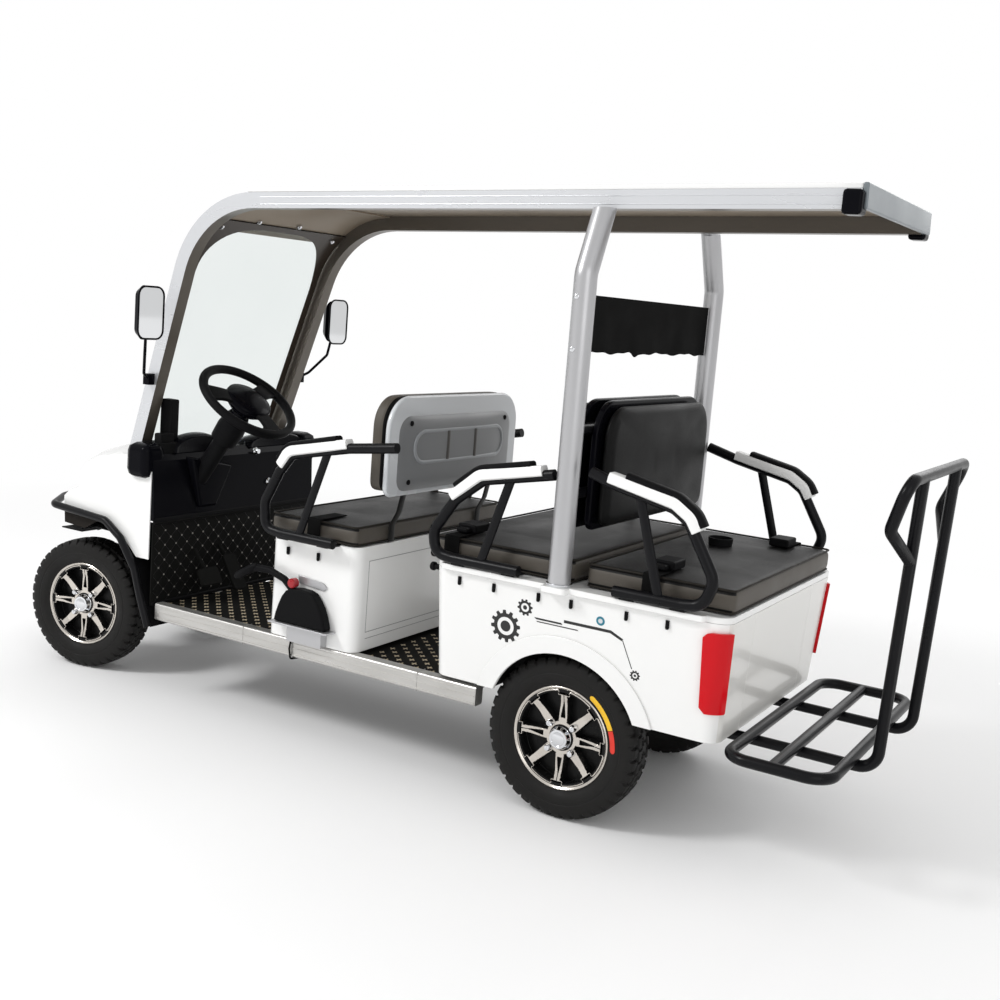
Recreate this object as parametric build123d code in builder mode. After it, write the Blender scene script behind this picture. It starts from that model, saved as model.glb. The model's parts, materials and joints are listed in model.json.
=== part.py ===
from build123d import *
import os
from math import asin, atan, cos, pi, radians, sin, tan

os.makedirs("parts", exist_ok=True)

# A six-seat golf cart in millimetres. The nose points to -Y, the driver's side is +X,
# the wheels stand on Z = 0, and the origin is on the ground below the middle of the cart.

# ---- Driving dimensions -------------------------------------------------------------------
seat_clearance = 0.3          # gap left between curved or moving neighbours
wheelbase = 1938
rear_axle_y = 670
front_axle_y = rear_axle_y - wheelbase

# Wheels
tyre_radius = 227
tyre_width = 110
tyre_wall = 10
bead_width = 83
rim_width = 92
rim_flange_radius = 144
rim_bead_radius = 127
rim_wall = 6
hub_radius = 40
hub_length = 62
spoke_count = 8
spindle_radius = 14
spindle_end_gap = 2           # between a spindle's end and the hub's closed face
rear_track = 674              # between the middle planes of the rear tyres
kingpin_spacing = 490
kingpin_offset = 63           # from the kingpin to the middle plane of the tyre
rest_steer = 9.1              # the front wheels stand turned to the left by this angle

# Frame
rail_width = 40
rail_height = 50
frame_half = 180              # to the middle of a main rail
nose_frame_half = 95          # to the middle of a rail over the front axle
floor_z = 300
floor_thickness = 15
rear_rail_z = 375
nose_rail_z = 330
frame_rear_y = 1060
frame_nose_y = -1440
sill_half = 401
sill_width = 40
sill_bottom = 257
sill_top = 314
sill_front_y = -850
sill_rear_y = 405

# Front cowl: a shape turned about an upright axis behind the dash, cut flat at the sides
cowl_wall = 4
cowl_half = sill_half + 4
cowl_axis_y = -792
cowl_top_z = 790
cowl_bottom_z = 455
cowl_rear_y = -885
arch_half = 205               # inner edge of the front wheel arches
kick_board_y = -865
kick_board_top = 585
dash_top_z = 808
dash_front_y = -1000
panel_wall = 5

# Rear body
body_wall = 5
body_bottom_z = 324
body_bottom_half = sill_half
body_top_half = 440
body_front_y = 258
body_rear_bottom_y = 1116
body_rear_top_y = 1133
body_corner = 45
deck_bottom_z = 643
deck_top_z = 660
lip_half = 456
lip_front_y = 291
lip_rear_y = 1072
arch_y = 675
arch_z = 242
arch_radius = 228
flare_width = 50
flare_height = 7
tail_seam = 240
seam = 0.6

# Seats
cushion_half = 411
cushion_corner = 25
front_cushion_y = (-365, -35)
front_cushion_z = (636, 700)
rear_cushion_z = (deck_top_z, 729)
seat_box_half = 400
seat_box_front_y = -368
seat_box_rear_y = -30
seat_box_wall = 6
seat_box_corner = 35
front_back_y = 27
front_back_half = 365
front_back_z = (790, 1088)
rear_back_half = 362
rear_back_z = (800, 1146)
back_shell = 18
back_pad = 44

# Roof
rail_edge_rear = (338, 1302, 1660)    # lower outer edge of a roof rail at its rear end
rail_edge_front = (381, -533, 1605)
pillar_edge_foot = (353, -1004, 780)
pillar_lean = 17.9
rail_face_depth = 48
rail_face_width = 45
rail_bend_radius = 293
roof_thickness = 14
tail_bar_thickness = 14
post_radius = 30
post_x = 443
post_y = 658
post_bend_z = 1470
post_top_x = 366
post_wall = 3
curtain_z = (1267, 1420)
curtain_thickness = 10
glass_thickness = 5

# Armrests, rack and bumper
armrest_x = 455
armrest_radius = 14
armrest_wall = 2
armrest_bend = 30
rack_radius = 13
rack_wall = 2
rack_z = 315
rack_half = 425
rack_front_y = 1148
rack_cross_y = 1270
rack_rear_y = 1410
rack_bar_x = 190
rack_weld = 4
rack_bar_z = rack_z - 2 * rack_radius + rack_weld
rack_handle_z = 1045
rack_handle_y = 1494
bumper_radius = 12.5
bumper_half = cowl_half + 17
bumper_nose_y = -1491

# Steering
wheel_centre = (200, -670, 996)
wheel_tilt = 54               # the column rises at this angle from level
wheel_radius = 160
grip_radius = 13
column_radius = 30
column_top = 60               # along the column from the wheel's centre
column_bottom = 430
shaft_radius = 12
steering_arm = 85


# ---- Helpers ------------------------------------------------------------------------------
def bent_tube(points, bend, radius, wall=0, closed=False):
    """A round tube (or a rod, with no wall) along straight runs joined by equal bends."""
    with BuildLine() as path:
        FilletPolyline(*points, radius=bend, close=closed)
    with BuildSketch(Plane(origin=path.line @ 0, z_dir=path.line % 0)) as ring:
        Circle(radius)
        if wall:
            Circle(radius - wall, mode=Mode.SUBTRACT)
    sweep(sections=ring.sketch, path=path.line)


def bent_bar(points, bend, width, height):
    """A rectangular bar along straight runs; its width lies across the cart."""
    with BuildLine() as path:
        FilletPolyline(*points, radius=bend)
    with BuildSketch(Plane(origin=path.line @ 0, x_dir=(1, 0, 0), z_dir=path.line % 0)) as end:
        Rectangle(width, height)
    sweep(sections=end.sketch, path=path.line)


def block(low, high, mode=Mode.ADD):
    """A box from one corner to the opposite one."""
    size = [abs(b - a) for a, b in zip(low, high)]
    middle = tuple((a + b) / 2 for a, b in zip(low, high))
    with Locations(middle):
        Box(*size, mode=mode)


def round_bar(start, end, radius, mode=Mode.ADD):
    """A straight round bar between two points."""
    run = Vector(*end) - Vector(*start)
    with BuildSketch(Plane(origin=start, z_dir=run)) as section:
        Circle(radius)
    extrude(section.sketch, amount=run.length, mode=mode)


def soft_block(low, high, corner):
    """A cushion: a box with all its edges rounded."""
    block(low, high)
    fillet(edges(), corner)


# ---- Wheels -------------------------------------------------------------------------------
turned = radians(rest_steer)
left_outward = (cos(turned), sin(turned), 0)
right_outward = (-cos(turned), -sin(turned), 0)
kingpin_x = kingpin_spacing / 2


def steered_centre(side, outward):
    """Middle of a front wheel: out from its kingpin along the turned axle."""
    return (
        side * kingpin_x + kingpin_offset * outward[0],
        front_axle_y + kingpin_offset * outward[1],
        tyre_radius,
    )


# columns: name, middle of the wheel, direction of its outer face
wheels = [
    ("front_left", steered_centre(1, left_outward), left_outward),
    ("front_right", steered_centre(-1, right_outward), right_outward),
    ("rear_left", (rear_track / 2, rear_axle_y, tyre_radius), (1, 0, 0)),
    ("rear_right", (-rear_track / 2, rear_axle_y, tyre_radius), (-1, 0, 0)),
]
shoulder_radius = 197
sidewall_radius = 165
crown_half = 43
tread_thickness = 12
bead_top = rim_flange_radius + 4
window_inner = 54
window_outer = 110
window_inner_half = 9
window_outer_half = 26
disc_inner_u = 22
disc_outer_u = 32
cap_radius = 30
hub_outer_u = rim_width / 2
hub_inner_u = hub_outer_u - hub_length

for wheel_name, centre, outward in wheels:
    across = Plane(origin=centre, x_dir=outward, z_dir=Vector(*outward).cross(Vector(0, 0, 1)))
    face = Plane(origin=centre, x_dir=(0, 0, 1), z_dir=outward)
    axle = Axis(centre, outward)
    half = tyre_width / 2
    bead = bead_width / 2

    with BuildPart() as tyre:
        with BuildSketch(across):
            with BuildLine():
                Polyline(
                    (bead, rim_bead_radius), (bead, bead_top),
                    (half, sidewall_radius), (half, shoulder_radius),
                    (crown_half, tyre_radius), (-crown_half, tyre_radius), (-half, shoulder_radius),
                    (-half, sidewall_radius), (-bead, bead_top), (-bead, rim_bead_radius),
                    (tyre_wall - bead, rim_bead_radius), (tyre_wall - bead, bead_top),
                    (tyre_wall - half, sidewall_radius), (tyre_wall - half, shoulder_radius),
                    (tyre_wall - crown_half, tyre_radius - tread_thickness),
                    (crown_half - tyre_wall, tyre_radius - tread_thickness),
                    (half - tyre_wall, shoulder_radius), (half - tyre_wall, sidewall_radius),
                    (bead - tyre_wall, bead_top), (bead - tyre_wall, rim_bead_radius),
                    close=True,
                )
            make_face()
        revolve(axis=axle)
    tyre.part.label = f"tyre_{wheel_name}"
    export_step(tyre.part, f"parts/tyre_{wheel_name}.step")

    with BuildPart() as rim:
        barrel_radius = rim_bead_radius - seat_clearance
        flange = rim_wall / 2 + 1
        with BuildSketch(across):
            with BuildLine():
                Polyline(
                    (-rim_width / 2, barrel_radius - rim_wall), (rim_width / 2, barrel_radius - rim_wall),
                    (rim_width / 2, rim_flange_radius), (rim_width / 2 - flange, rim_flange_radius),
                    (rim_width / 2 - flange, barrel_radius), (flange - rim_width / 2, barrel_radius),
                    (flange - rim_width / 2, rim_flange_radius), (-rim_width / 2, rim_flange_radius),
                    close=True,
                )
            make_face()
        revolve(axis=axle)
        with BuildSketch(face.offset(disc_inner_u)):
            Circle(barrel_radius - rim_wall / 2)
        extrude(amount=disc_outer_u - disc_inner_u)
        with BuildSketch(face.offset(disc_inner_u)):
            with PolarLocations(0, spoke_count):
                Polygon(
                    (window_inner, -window_inner_half), (window_outer, -window_outer_half),
                    (window_outer, window_outer_half), (window_inner, window_inner_half), align=None,
                )
        extrude(amount=disc_outer_u - disc_inner_u, mode=Mode.SUBTRACT)
        with BuildSketch(face.offset(hub_inner_u)):
            Circle(hub_radius)
        extrude(amount=hub_length)
        with BuildSketch(face.offset(hub_inner_u)):
            Circle(spindle_radius + seat_clearance)
        extrude(amount=hub_length - rim_wall, mode=Mode.SUBTRACT)
    rim.part.label = f"rim_{wheel_name}"
    export_step(rim.part, f"parts/rim_{wheel_name}.step")

# ---- Front axle, knuckles and steering link -----------------------------------------------
beam_size = 50
lug_radius = 20
lug_thickness = 12
barrel_height = 70
kingpin_radius = 8
yoke_gap = 0.5
beam_end_x = kingpin_x - 22
spring_width = 45
spring_thickness = 12
spring_half_length = 157
spring_rise = 32
weld = 1                      # depth by which a welded piece sinks into its neighbour

with BuildPart() as front_axle:
    block(
        (-beam_end_x + lug_thickness, front_axle_y - beam_size / 2, tyre_radius - beam_size / 2),
        (beam_end_x - lug_thickness, front_axle_y + beam_size / 2, tyre_radius + beam_size / 2),
    )
    for side in (1, -1):
        for end in (1, -1):
            lug_z = tyre_radius + end * (barrel_height / 2 + lug_thickness / 2)
            with BuildSketch(Plane.XY.offset(lug_z - lug_thickness / 2)):
                with Locations((side * kingpin_x, front_axle_y)):
                    SlotCenterToCenter(1, 2 * lug_radius)
                with Locations((side * (beam_end_x - lug_thickness / 2), front_axle_y)):
                    Rectangle(2 * lug_radius, 2 * lug_radius)
            extrude(amount=lug_thickness)
        cheek_x = side * (beam_end_x - 3 * lug_thickness / 2)
        with Locations((cheek_x, front_axle_y, tyre_radius)):
            Box(lug_thickness, 2 * lug_radius, barrel_height + 2 * lug_thickness)
        with Locations((side * kingpin_x, front_axle_y, tyre_radius)):
            Cylinder(
                kingpin_radius + seat_clearance, barrel_height + 3 * lug_thickness, mode=Mode.SUBTRACT
            )
    for side in (1, -1):
        with BuildSketch(Plane.YZ.offset(side * nose_frame_half - spring_width / 2)) as spring:
            with BuildLine() as leaf:
                spring_z = tyre_radius + (beam_size + spring_thickness) / 2
                ThreePointArc(
                    (front_axle_y - spring_half_length, spring_z + spring_rise),
                    (front_axle_y, spring_z - weld),
                    (front_axle_y + spring_half_length, spring_z + spring_rise),
                )
            trace(line_width=spring_thickness)
        extrude(amount=spring_width)
front_axle.part.label = "front_axle"
export_step(front_axle.part, "parts/front_axle.step")

arm_thickness = 12
arm_width = 24
arm_drop = 20
spindle_reach = kingpin_offset + hub_outer_u - rim_wall - spindle_end_gap
for side_name, side, outward in (("left", 1, left_outward), ("right", -1, right_outward)):
    kingpin = Vector(side * kingpin_x, front_axle_y, tyre_radius)
    heading = Vector(-sin(turned), cos(turned), 0)
    out = Vector(*outward)
    with BuildPart() as knuckle:
        with Locations(kingpin):
            Cylinder(lug_radius, barrel_height - 2 * yoke_gap)
            Cylinder(kingpin_radius, barrel_height + 2 * lug_thickness)
        round_bar(tuple(kingpin), tuple(kingpin + out * spindle_reach), spindle_radius)
        arm_end = kingpin + heading * steering_arm - Vector(0, 0, arm_drop)
        arm_plane = Plane(origin=arm_end - heading * steering_arm / 2, x_dir=heading, z_dir=(0, 0, 1))
        with BuildSketch(arm_plane):
            SlotCenterToCenter(steering_arm, arm_width)
        extrude(amount=arm_thickness / 2, both=True)
    knuckle.part.label = f"knuckle_{side_name}"
    export_step(knuckle.part, f"parts/knuckle_{side_name}.step")

link_radius = 6
link_end_radius = 12
link_gap = 1
link_thickness = 16
link_z = tyre_radius - arm_drop - arm_thickness / 2 - link_gap - link_thickness / 2
link_y = front_axle_y + steering_arm * cos(turned)
link_shift = -steering_arm * sin(turned)
with BuildPart() as steering_link:
    round_bar(
        (link_shift - kingpin_x, link_y, link_z), (link_shift + kingpin_x, link_y, link_z), link_radius
    )
    for side in (1, -1):
        with Locations((link_shift + side * kingpin_x, link_y, link_z)):
            Cylinder(link_end_radius, link_thickness)
steering_link.part.label = "steering_link"
export_step(steering_link.part, "parts/steering_link.step")

# ---- Frame --------------------------------------------------------------------------------
floor_rail_z = floor_z - floor_thickness - rail_height / 2
cross_size = 40
hanger_length = 25
rack_housing_radius = 17
rack_housing_half = 105
rack_bracket_x = 50
rack_bracket_size = (16, 32)   # across and along the cart
rear_spring_x = 240
rear_spring_half_length = 262
rear_spring_z = 262
rear_spring_rise = 50
deck_post_y = (500, 1035)
frame_outrigger_y = (-800, -350, 200)
frame_cross_y = (-880, -350, 200)
rear_cross_y = (500, 1035)
rack_clamp_y = (975, 1020)
damper_radius = 21
damper_x = frame_half + 9
damper_top_y = 835
damper_foot = (765, 160)      # Y, height
damper_plate = 10

with BuildPart() as chassis_frame:
    for side in (1, -1):
        bent_bar(
            [
                (side * frame_half, cowl_rear_y - 15, floor_rail_z), (side * frame_half, 290, floor_rail_z),
                (side * frame_half, 450, rear_rail_z), (side * frame_half, frame_rear_y, rear_rail_z),
            ],
            60, rail_width, rail_height,
        )
        bent_bar(
            [
                (side * nose_frame_half, cowl_rear_y + 15, floor_rail_z),
                (side * nose_frame_half, cowl_rear_y - 75, floor_rail_z),
                (side * nose_frame_half, cowl_rear_y - 155, nose_rail_z),
                (side * nose_frame_half, frame_nose_y, nose_rail_z),
            ],
            40, rail_width, rail_height,
        )
        for y in frame_outrigger_y:
            block(
                (side * frame_half, y - cross_size / 2, sill_bottom),
                (side * (sill_half - sill_width), y + cross_size / 2, floor_z - floor_thickness),
            )
        for y in deck_post_y:
            block(
                (side * (frame_half - cross_size / 2), y - cross_size / 2, rear_rail_z),
                (side * (frame_half + cross_size / 2), y + cross_size / 2, deck_bottom_z),
            )
        for y in (rear_axle_y - rear_spring_half_length, rear_axle_y + rear_spring_half_length):
            block(
                (
                    side * frame_half, y - hanger_length / 2,
                    rear_spring_z + rear_spring_rise + spring_thickness,
                ),
                (side * (rear_spring_x + spring_width / 2), y + hanger_length / 2, rear_rail_z),
            )
        for y in (front_axle_y - spring_half_length, front_axle_y + spring_half_length):
            hanger_low = tyre_radius + beam_size / 2 + spring_rise + spring_thickness + 2 * weld
            block(
                (side * (nose_frame_half - rail_width / 2), y - hanger_length / 2, hanger_low),
                (side * (nose_frame_half + rail_width / 2), y + hanger_length / 2, nose_rail_z),
            )
        block(
            (side * (rack_bar_x - rail_width / 2), rack_clamp_y[0], rack_bar_z - rail_width / 2),
            (side * (rack_bar_x + rail_width / 2), rack_clamp_y[1], rear_rail_z),
        )
        round_bar(
            (side * rack_bar_x, rack_clamp_y[0], rack_bar_z),
            (side * rack_bar_x, rack_clamp_y[1], rack_bar_z),
            rack_radius + seat_clearance, Mode.SUBTRACT,
        )
        bracket_across, bracket_along = (size / 2 for size in rack_bracket_size)
        block(
            (side * (rack_bracket_x - bracket_across), link_y - bracket_along, link_z),
            (side * (rack_bracket_x + bracket_across), link_y + bracket_along, nose_rail_z),
        )
        round_bar(
            (side * damper_x, damper_top_y, rear_rail_z), (side * damper_x, *damper_foot), damper_radius
        )
    for y in frame_cross_y:
        block(
            (-frame_half, y - cross_size / 2, floor_rail_z - cross_size / 2),
            (frame_half, y + cross_size / 2, floor_rail_z + cross_size / 2),
        )
    for y in rear_cross_y:
        block(
            (-frame_half, y - cross_size / 2, rear_rail_z - cross_size / 2),
            (frame_half, y + cross_size / 2, rear_rail_z + cross_size / 2),
        )
    for y in (link_y, frame_nose_y + cross_size / 2):
        block(
            (-nose_frame_half, y - cross_size / 2, nose_rail_z - cross_size / 2),
            (nose_frame_half, y + cross_size / 2, nose_rail_z + cross_size / 2),
        )
    round_bar(
        (-rack_housing_half, link_y, link_z), (rack_housing_half, link_y, link_z), rack_housing_radius
    )
    round_bar(
        (-rack_housing_half, link_y, link_z), (rack_housing_half, link_y, link_z),
        link_radius + seat_clearance, Mode.SUBTRACT,
    )
chassis_frame.part.label = "chassis_frame"
export_step(chassis_frame.part, "parts/chassis_frame.step")

with BuildPart() as floor_pan:
    block(
        (sill_width - sill_half, kick_board_y + panel_wall, floor_z - floor_thickness),
        (sill_half - sill_width, body_front_y, floor_z),
    )
floor_pan.part.label = "floor_pan"
export_step(floor_pan.part, "parts/floor_pan.step")

with BuildPart() as side_sills:
    with BuildSketch(Plane.XZ.offset(-sill_front_y)):
        with Locations((sill_half - sill_width / 2, (sill_bottom + sill_top) / 2)):
            RectangleRounded(sill_width, sill_top - sill_bottom, 8)
    extrude(amount=sill_front_y - sill_rear_y)
    mirror(about=Plane.YZ)
side_sills.part.label = "side_sills"
export_step(side_sills.part, "parts/side_sills.step")

# ---- Rear axle, motor and battery ---------------------------------------------------------
axle_tube_radius = 28
axle_tube_half = 262
gear_case_radius = 95
gear_case_width = 130
motor_radius = 80
motor_length = 170
drum_radius = 78
drum_width = 38
drum_inner_x = axle_tube_half - 20


def on_rear_axle(x):
    """A point on the rear axle's middle line."""
    return (x, rear_axle_y, tyre_radius)


with BuildPart() as rear_axle:
    for side in (1, -1):
        hub_end_x = rear_track / 2 + hub_outer_u - rim_wall - spindle_end_gap
        round_bar(on_rear_axle(0), on_rear_axle(side * axle_tube_half), axle_tube_radius)
        round_bar(on_rear_axle(side * drum_inner_x), on_rear_axle(side * hub_end_x), spindle_radius)
        round_bar(
            on_rear_axle(side * drum_inner_x), on_rear_axle(side * (drum_inner_x + drum_width)), drum_radius
        )
        plate_top = damper_foot[1] - damper_radius
        block(
            (side * (damper_x - damper_radius), rear_axle_y - damper_radius, plate_top - damper_plate),
            (side * (damper_x + damper_radius), damper_foot[0] + damper_radius, plate_top),
        )
        block(
            (side * (damper_x - damper_radius), rear_axle_y - damper_radius, plate_top - damper_plate),
            (side * (damper_x + damper_radius), rear_axle_y + damper_radius, tyre_radius),
        )
        with BuildSketch(Plane.YZ.offset(side * rear_spring_x - spring_width / 2)):
            with BuildLine():
                ThreePointArc(
                    (rear_axle_y - rear_spring_half_length, rear_spring_z + rear_spring_rise),
                    (rear_axle_y, rear_spring_z),
                    (rear_axle_y + rear_spring_half_length, rear_spring_z + rear_spring_rise),
                )
            trace(line_width=spring_thickness)
        extrude(amount=spring_width)
    round_bar(on_rear_axle(-gear_case_width / 2), on_rear_axle(gear_case_width / 2), gear_case_radius)
rear_axle.part.label = "rear_axle"
export_step(rear_axle.part, "parts/rear_axle.step")

with BuildPart() as drive_motor:
    motor_y = rear_axle_y - gear_case_radius
    motor_z = tyre_radius + 20
    round_bar((0, motor_y - motor_length, motor_z), (0, motor_y - seat_clearance, motor_z), motor_radius)
drive_motor.part.label = "drive_motor"
export_step(drive_motor.part, "parts/drive_motor.step")

battery_half = 300
battery_y = (-330, -70)
battery_top = 520
with BuildPart() as battery_pack:
    block((-battery_half, battery_y[0], floor_z), (battery_half, battery_y[1], battery_top))
battery_pack.part.label = "battery_pack"
export_step(battery_pack.part, "parts/battery_pack.step")

# ---- Front cowl, bumper, lamps and liners -------------------------------------------------
# columns: distance from the upright axis, height
cowl_profile = [
    (460, cowl_top_z), (528, 768), (566, 741), (588, 705), (593, 648), (632, 628), (648, 610), (643, 519),
    (600, cowl_bottom_z),
]
wheel_arch_front_y = bumper_nose_y - 100
# columns: Y, height of the lower edge of the cowl's sides, from the dash forwards
wheel_arch_profile = [
    (cowl_rear_y, cowl_bottom_z), (-942, cowl_bottom_z), (-993, 501), (-1063, 546), (-1130, 546),
    (-1192, 512), (-1306, 519), (wheel_arch_front_y, 519),
]


def cowl_form(inset):
    """The cowl as a solid, smaller all round by the inset."""
    with BuildPart(mode=Mode.PRIVATE) as form:
        with BuildSketch(Plane.YZ):
            with BuildLine():
                outline = [(cowl_axis_y - r + inset, z - inset) for r, z in cowl_profile]
                Polyline(
                    (cowl_axis_y, cowl_top_z - inset), *outline[:-1],
                    (outline[-1][0], cowl_bottom_z), (cowl_axis_y, cowl_bottom_z), close=True,
                )
            make_face()
        revolve(axis=Axis((0, cowl_axis_y, 0), (0, 0, 1)))
        half = cowl_half - inset
        block((-half, wheel_arch_front_y, 0), (half, cowl_rear_y, 2 * cowl_top_z), mode=Mode.INTERSECT)
    return form.part


with BuildPart() as front_cowl:
    add(cowl_form(0))
    for side in (1, -1):
        with BuildSketch(Plane.YZ.offset(side * arch_half)):
            with BuildLine():
                Polyline(*wheel_arch_profile, (wheel_arch_front_y, 0), (cowl_rear_y, 0), close=True)
            make_face()
        extrude(amount=side * cowl_half, mode=Mode.SUBTRACT)
    add(cowl_form(cowl_wall), mode=Mode.SUBTRACT)
    block(
        (cowl_wall - cowl_half, dash_front_y, cowl_profile[2][1]),
        (cowl_half - cowl_wall, cowl_rear_y, 2 * cowl_top_z),
        mode=Mode.SUBTRACT,
    )
front_cowl.part.label = "front_cowl"
export_step(front_cowl.part, "parts/front_cowl.step")

lamp_x = 270
lamp_z = 690
lamp_width = 150
lamp_height = 70
lamp_proud = 6
with BuildPart() as headlamps:
    add(cowl_form(-lamp_proud))
    add(cowl_form(0), mode=Mode.SUBTRACT)
    with BuildSketch(Plane.XZ.offset(-cowl_axis_y)):
        with Locations((lamp_x, lamp_z), (-lamp_x, lamp_z)):
            Ellipse(lamp_width / 2, lamp_height / 2)
    extrude(amount=-wheel_arch_front_y, mode=Mode.INTERSECT)
headlamps.part.label = "headlamps"
export_step(headlamps.part, "parts/headlamps.step")

with BuildPart() as front_bumper:
    side_run = [
        (bumper_half, -859, 235), (bumper_half, -900, 335), (bumper_half, -928, 417),
        (bumper_half, -1000, 512), (bumper_half, -1075, 560), (bumper_half, -1200, 568),
        (bumper_half, -1330, 577),
        (310, -1412, 583), (150, -1468, 588),
    ]
    other_run = [(-x, y, z) for x, y, z in side_run[::-1]]
    bent_tube(side_run + [(0, bumper_nose_y, 590)] + other_run, 40, bumper_radius)
front_bumper.part.label = "front_bumper"
export_step(front_bumper.part, "parts/front_bumper.step")

liner_wall = 4
liner_gap = 8                 # from the rear arch's edge to its liner
liner_inner_x = axle_tube_half + 12
liner_outer = bumper_half - bumper_radius - seat_clearance
with BuildPart() as arch_liners:
    with BuildSketch(Plane.YZ.offset(arch_half + seat_clearance)):
        with BuildLine():
            Polyline(
                (-859, 232), (-900, 335), (-928, 417), (-985, 480), (-1060, 524), (-1130, 526),
                (-1200, 500), (-1300, 500),
            )
        trace(line_width=liner_wall)
    extrude(amount=liner_outer - arch_half - seat_clearance)
    with BuildSketch(Plane.YZ.offset(liner_inner_x)):
        with Locations((arch_y, arch_z)):
            Circle(arch_radius + liner_gap + liner_wall)
            Circle(arch_radius + liner_gap, mode=Mode.SUBTRACT)
        with Locations((arch_y, body_bottom_z / 2)):
            Rectangle(4 * arch_radius, body_bottom_z, mode=Mode.SUBTRACT)
    extrude(amount=body_bottom_half - body_wall - liner_wall / 2 - liner_inner_x)
    mirror(about=Plane.YZ)
arch_liners.part.label = "arch_liners"
export_step(arch_liners.part, "parts/arch_liners.step")

# ---- Dash, kick board, pedals and steering ------------------------------------------------
# columns: Y, height along the dash, from the windscreen's foot back and down
dash_profile = [(-996, 786), (-975, dash_top_z), (-905, dash_top_z), (-884, 780), (-874, kick_board_top)]
dash_half = cowl_half - cowl_wall - seat_clearance
dash_tuck_y = -935
board_depth = 12
column_down = Vector(0, -cos(radians(wheel_tilt)), -sin(radians(wheel_tilt)))
hub_point = Vector(*wheel_centre)
with BuildPart() as dashboard:
    with BuildSketch(Plane.YZ.offset(-dash_half)):
        with BuildLine():
            Polyline(*dash_profile)
        trace(line_width=panel_wall)
    extrude(amount=2 * dash_half)
    for side in (1, -1):
        with BuildSketch(Plane.YZ.offset(side * dash_half)):
            with BuildLine():
                Polyline(*dash_profile, (dash_tuck_y, kick_board_top), close=True)
            make_face()
        extrude(amount=-side * panel_wall)
    round_bar(
        tuple(hub_point + column_down * column_top), tuple(hub_point + column_down * column_bottom),
        column_radius + seat_clearance, Mode.SUBTRACT,
    )
dashboard.part.label = "dashboard"
export_step(dashboard.part, "parts/dashboard.step")

with BuildPart() as kick_board:
    board_top = kick_board_top - panel_wall
    board_front_y = kick_board_y - board_depth
    block((-dash_half, board_front_y, floor_z), (dash_half, board_front_y + panel_wall, board_top))
    block((-dash_half, board_front_y, board_top - panel_wall), (dash_half, kick_board_y, board_top))
kick_board.part.label = "kick_board"
export_step(kick_board.part, "parts/kick_board.step")

pedal_pivot_z = 470
pedal_pad_z = 385
pedal_reach = 70
pedal_rod_radius = 7
pedal_thickness = 10
pedal_facing = (0, 1, 0.6)
with BuildPart() as pedals:
    # columns: middle of the pad across the cart, pad width, pad height
    for pedal_x, pedal_width, pedal_height in ((215, 90, 60), (95, 60, 130)):
        pad_centre = (pedal_x, kick_board_y + pedal_reach, pedal_pad_z)
        round_bar((pedal_x, kick_board_y - weld, pedal_pivot_z), pad_centre, pedal_rod_radius)
        with BuildSketch(Plane(origin=pad_centre, x_dir=(1, 0, 0), z_dir=pedal_facing)):
            RectangleRounded(pedal_width, pedal_height, pedal_thickness)
        extrude(amount=pedal_thickness)
pedals.part.label = "pedals"
export_step(pedals.part, "parts/pedals.step")

shaft_depth = 270             # bored from the column's top
shaft_length = 120            # of the wheel's shaft inside the column
with BuildPart() as steering_column:
    column_end = tuple(hub_point + column_down * column_bottom)
    round_bar(tuple(hub_point + column_down * column_top), column_end, column_radius)
    shaft_end = tuple(hub_point + column_down * (column_top + shaft_depth))
    round_bar(
        tuple(hub_point + column_down * column_top), shaft_end, shaft_radius + seat_clearance, Mode.SUBTRACT
    )
steering_column.part.label = "steering_column"
export_step(steering_column.part, "parts/steering_column.step")

hub_pad_radius = 62
hub_pad_sink = 22             # from the middle of the grip to the back of the pad
hub_pad_depth = 34
spoke_angles = (-20, 200, 90)
collar_gap = 2
spoke_width = 34
spoke_thickness = 12
with BuildPart() as steering_wheel:
    hub_plane = Plane(origin=hub_point, x_dir=(1, 0, 0), z_dir=-column_down)
    grip_plane = Plane(origin=hub_point, x_dir=(1, 0, 0), z_dir=column_down.cross(Vector(1, 0, 0)))
    with BuildSketch(grip_plane):
        with Locations((wheel_radius, 0)):
            Circle(grip_radius)
    revolve(axis=Axis(hub_point, -column_down))
    with BuildSketch(hub_plane.offset(-hub_pad_sink)):
        Circle(hub_pad_radius)
    extrude(amount=hub_pad_depth)
    with BuildSketch(hub_plane.offset(-spoke_thickness / 2)):
        for spoke_angle in spoke_angles:
            with PolarLocations(0, 1, start_angle=spoke_angle):
                with Locations((wheel_radius / 2, 0)):
                    Rectangle(wheel_radius, spoke_width)
    extrude(amount=spoke_thickness)
    with BuildSketch(hub_plane):
        Circle(shaft_radius)
    extrude(amount=-column_top - shaft_length)
    with BuildSketch(hub_plane):
        Circle(column_radius)
    extrude(amount=collar_gap - column_top)
steering_wheel.part.label = "steering_wheel"
export_step(steering_wheel.part, "parts/steering_wheel.step")

# ---- Front seat ---------------------------------------------------------------------------
seat_box_top = front_cushion_z[0]


def seat_box_form(inset):
    """The seat box as a solid, smaller at its sides and top by the inset."""
    with BuildPart(mode=Mode.PRIVATE) as form:
        half = seat_box_half - inset
        block(
            (-half, seat_box_front_y + inset, sill_top + seat_clearance),
            (half, seat_box_rear_y - inset, seat_box_top - inset),
        )
        fillet(form.edges().filter_by(Axis.Z), seat_box_corner - inset)
    return form.part


with BuildPart() as front_seat_box:
    add(seat_box_form(0))
    add(seat_box_form(seat_box_wall), mode=Mode.SUBTRACT)
front_seat_box.part.label = "front_seat_box"
export_step(front_seat_box.part, "parts/front_seat_box.step")

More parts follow.
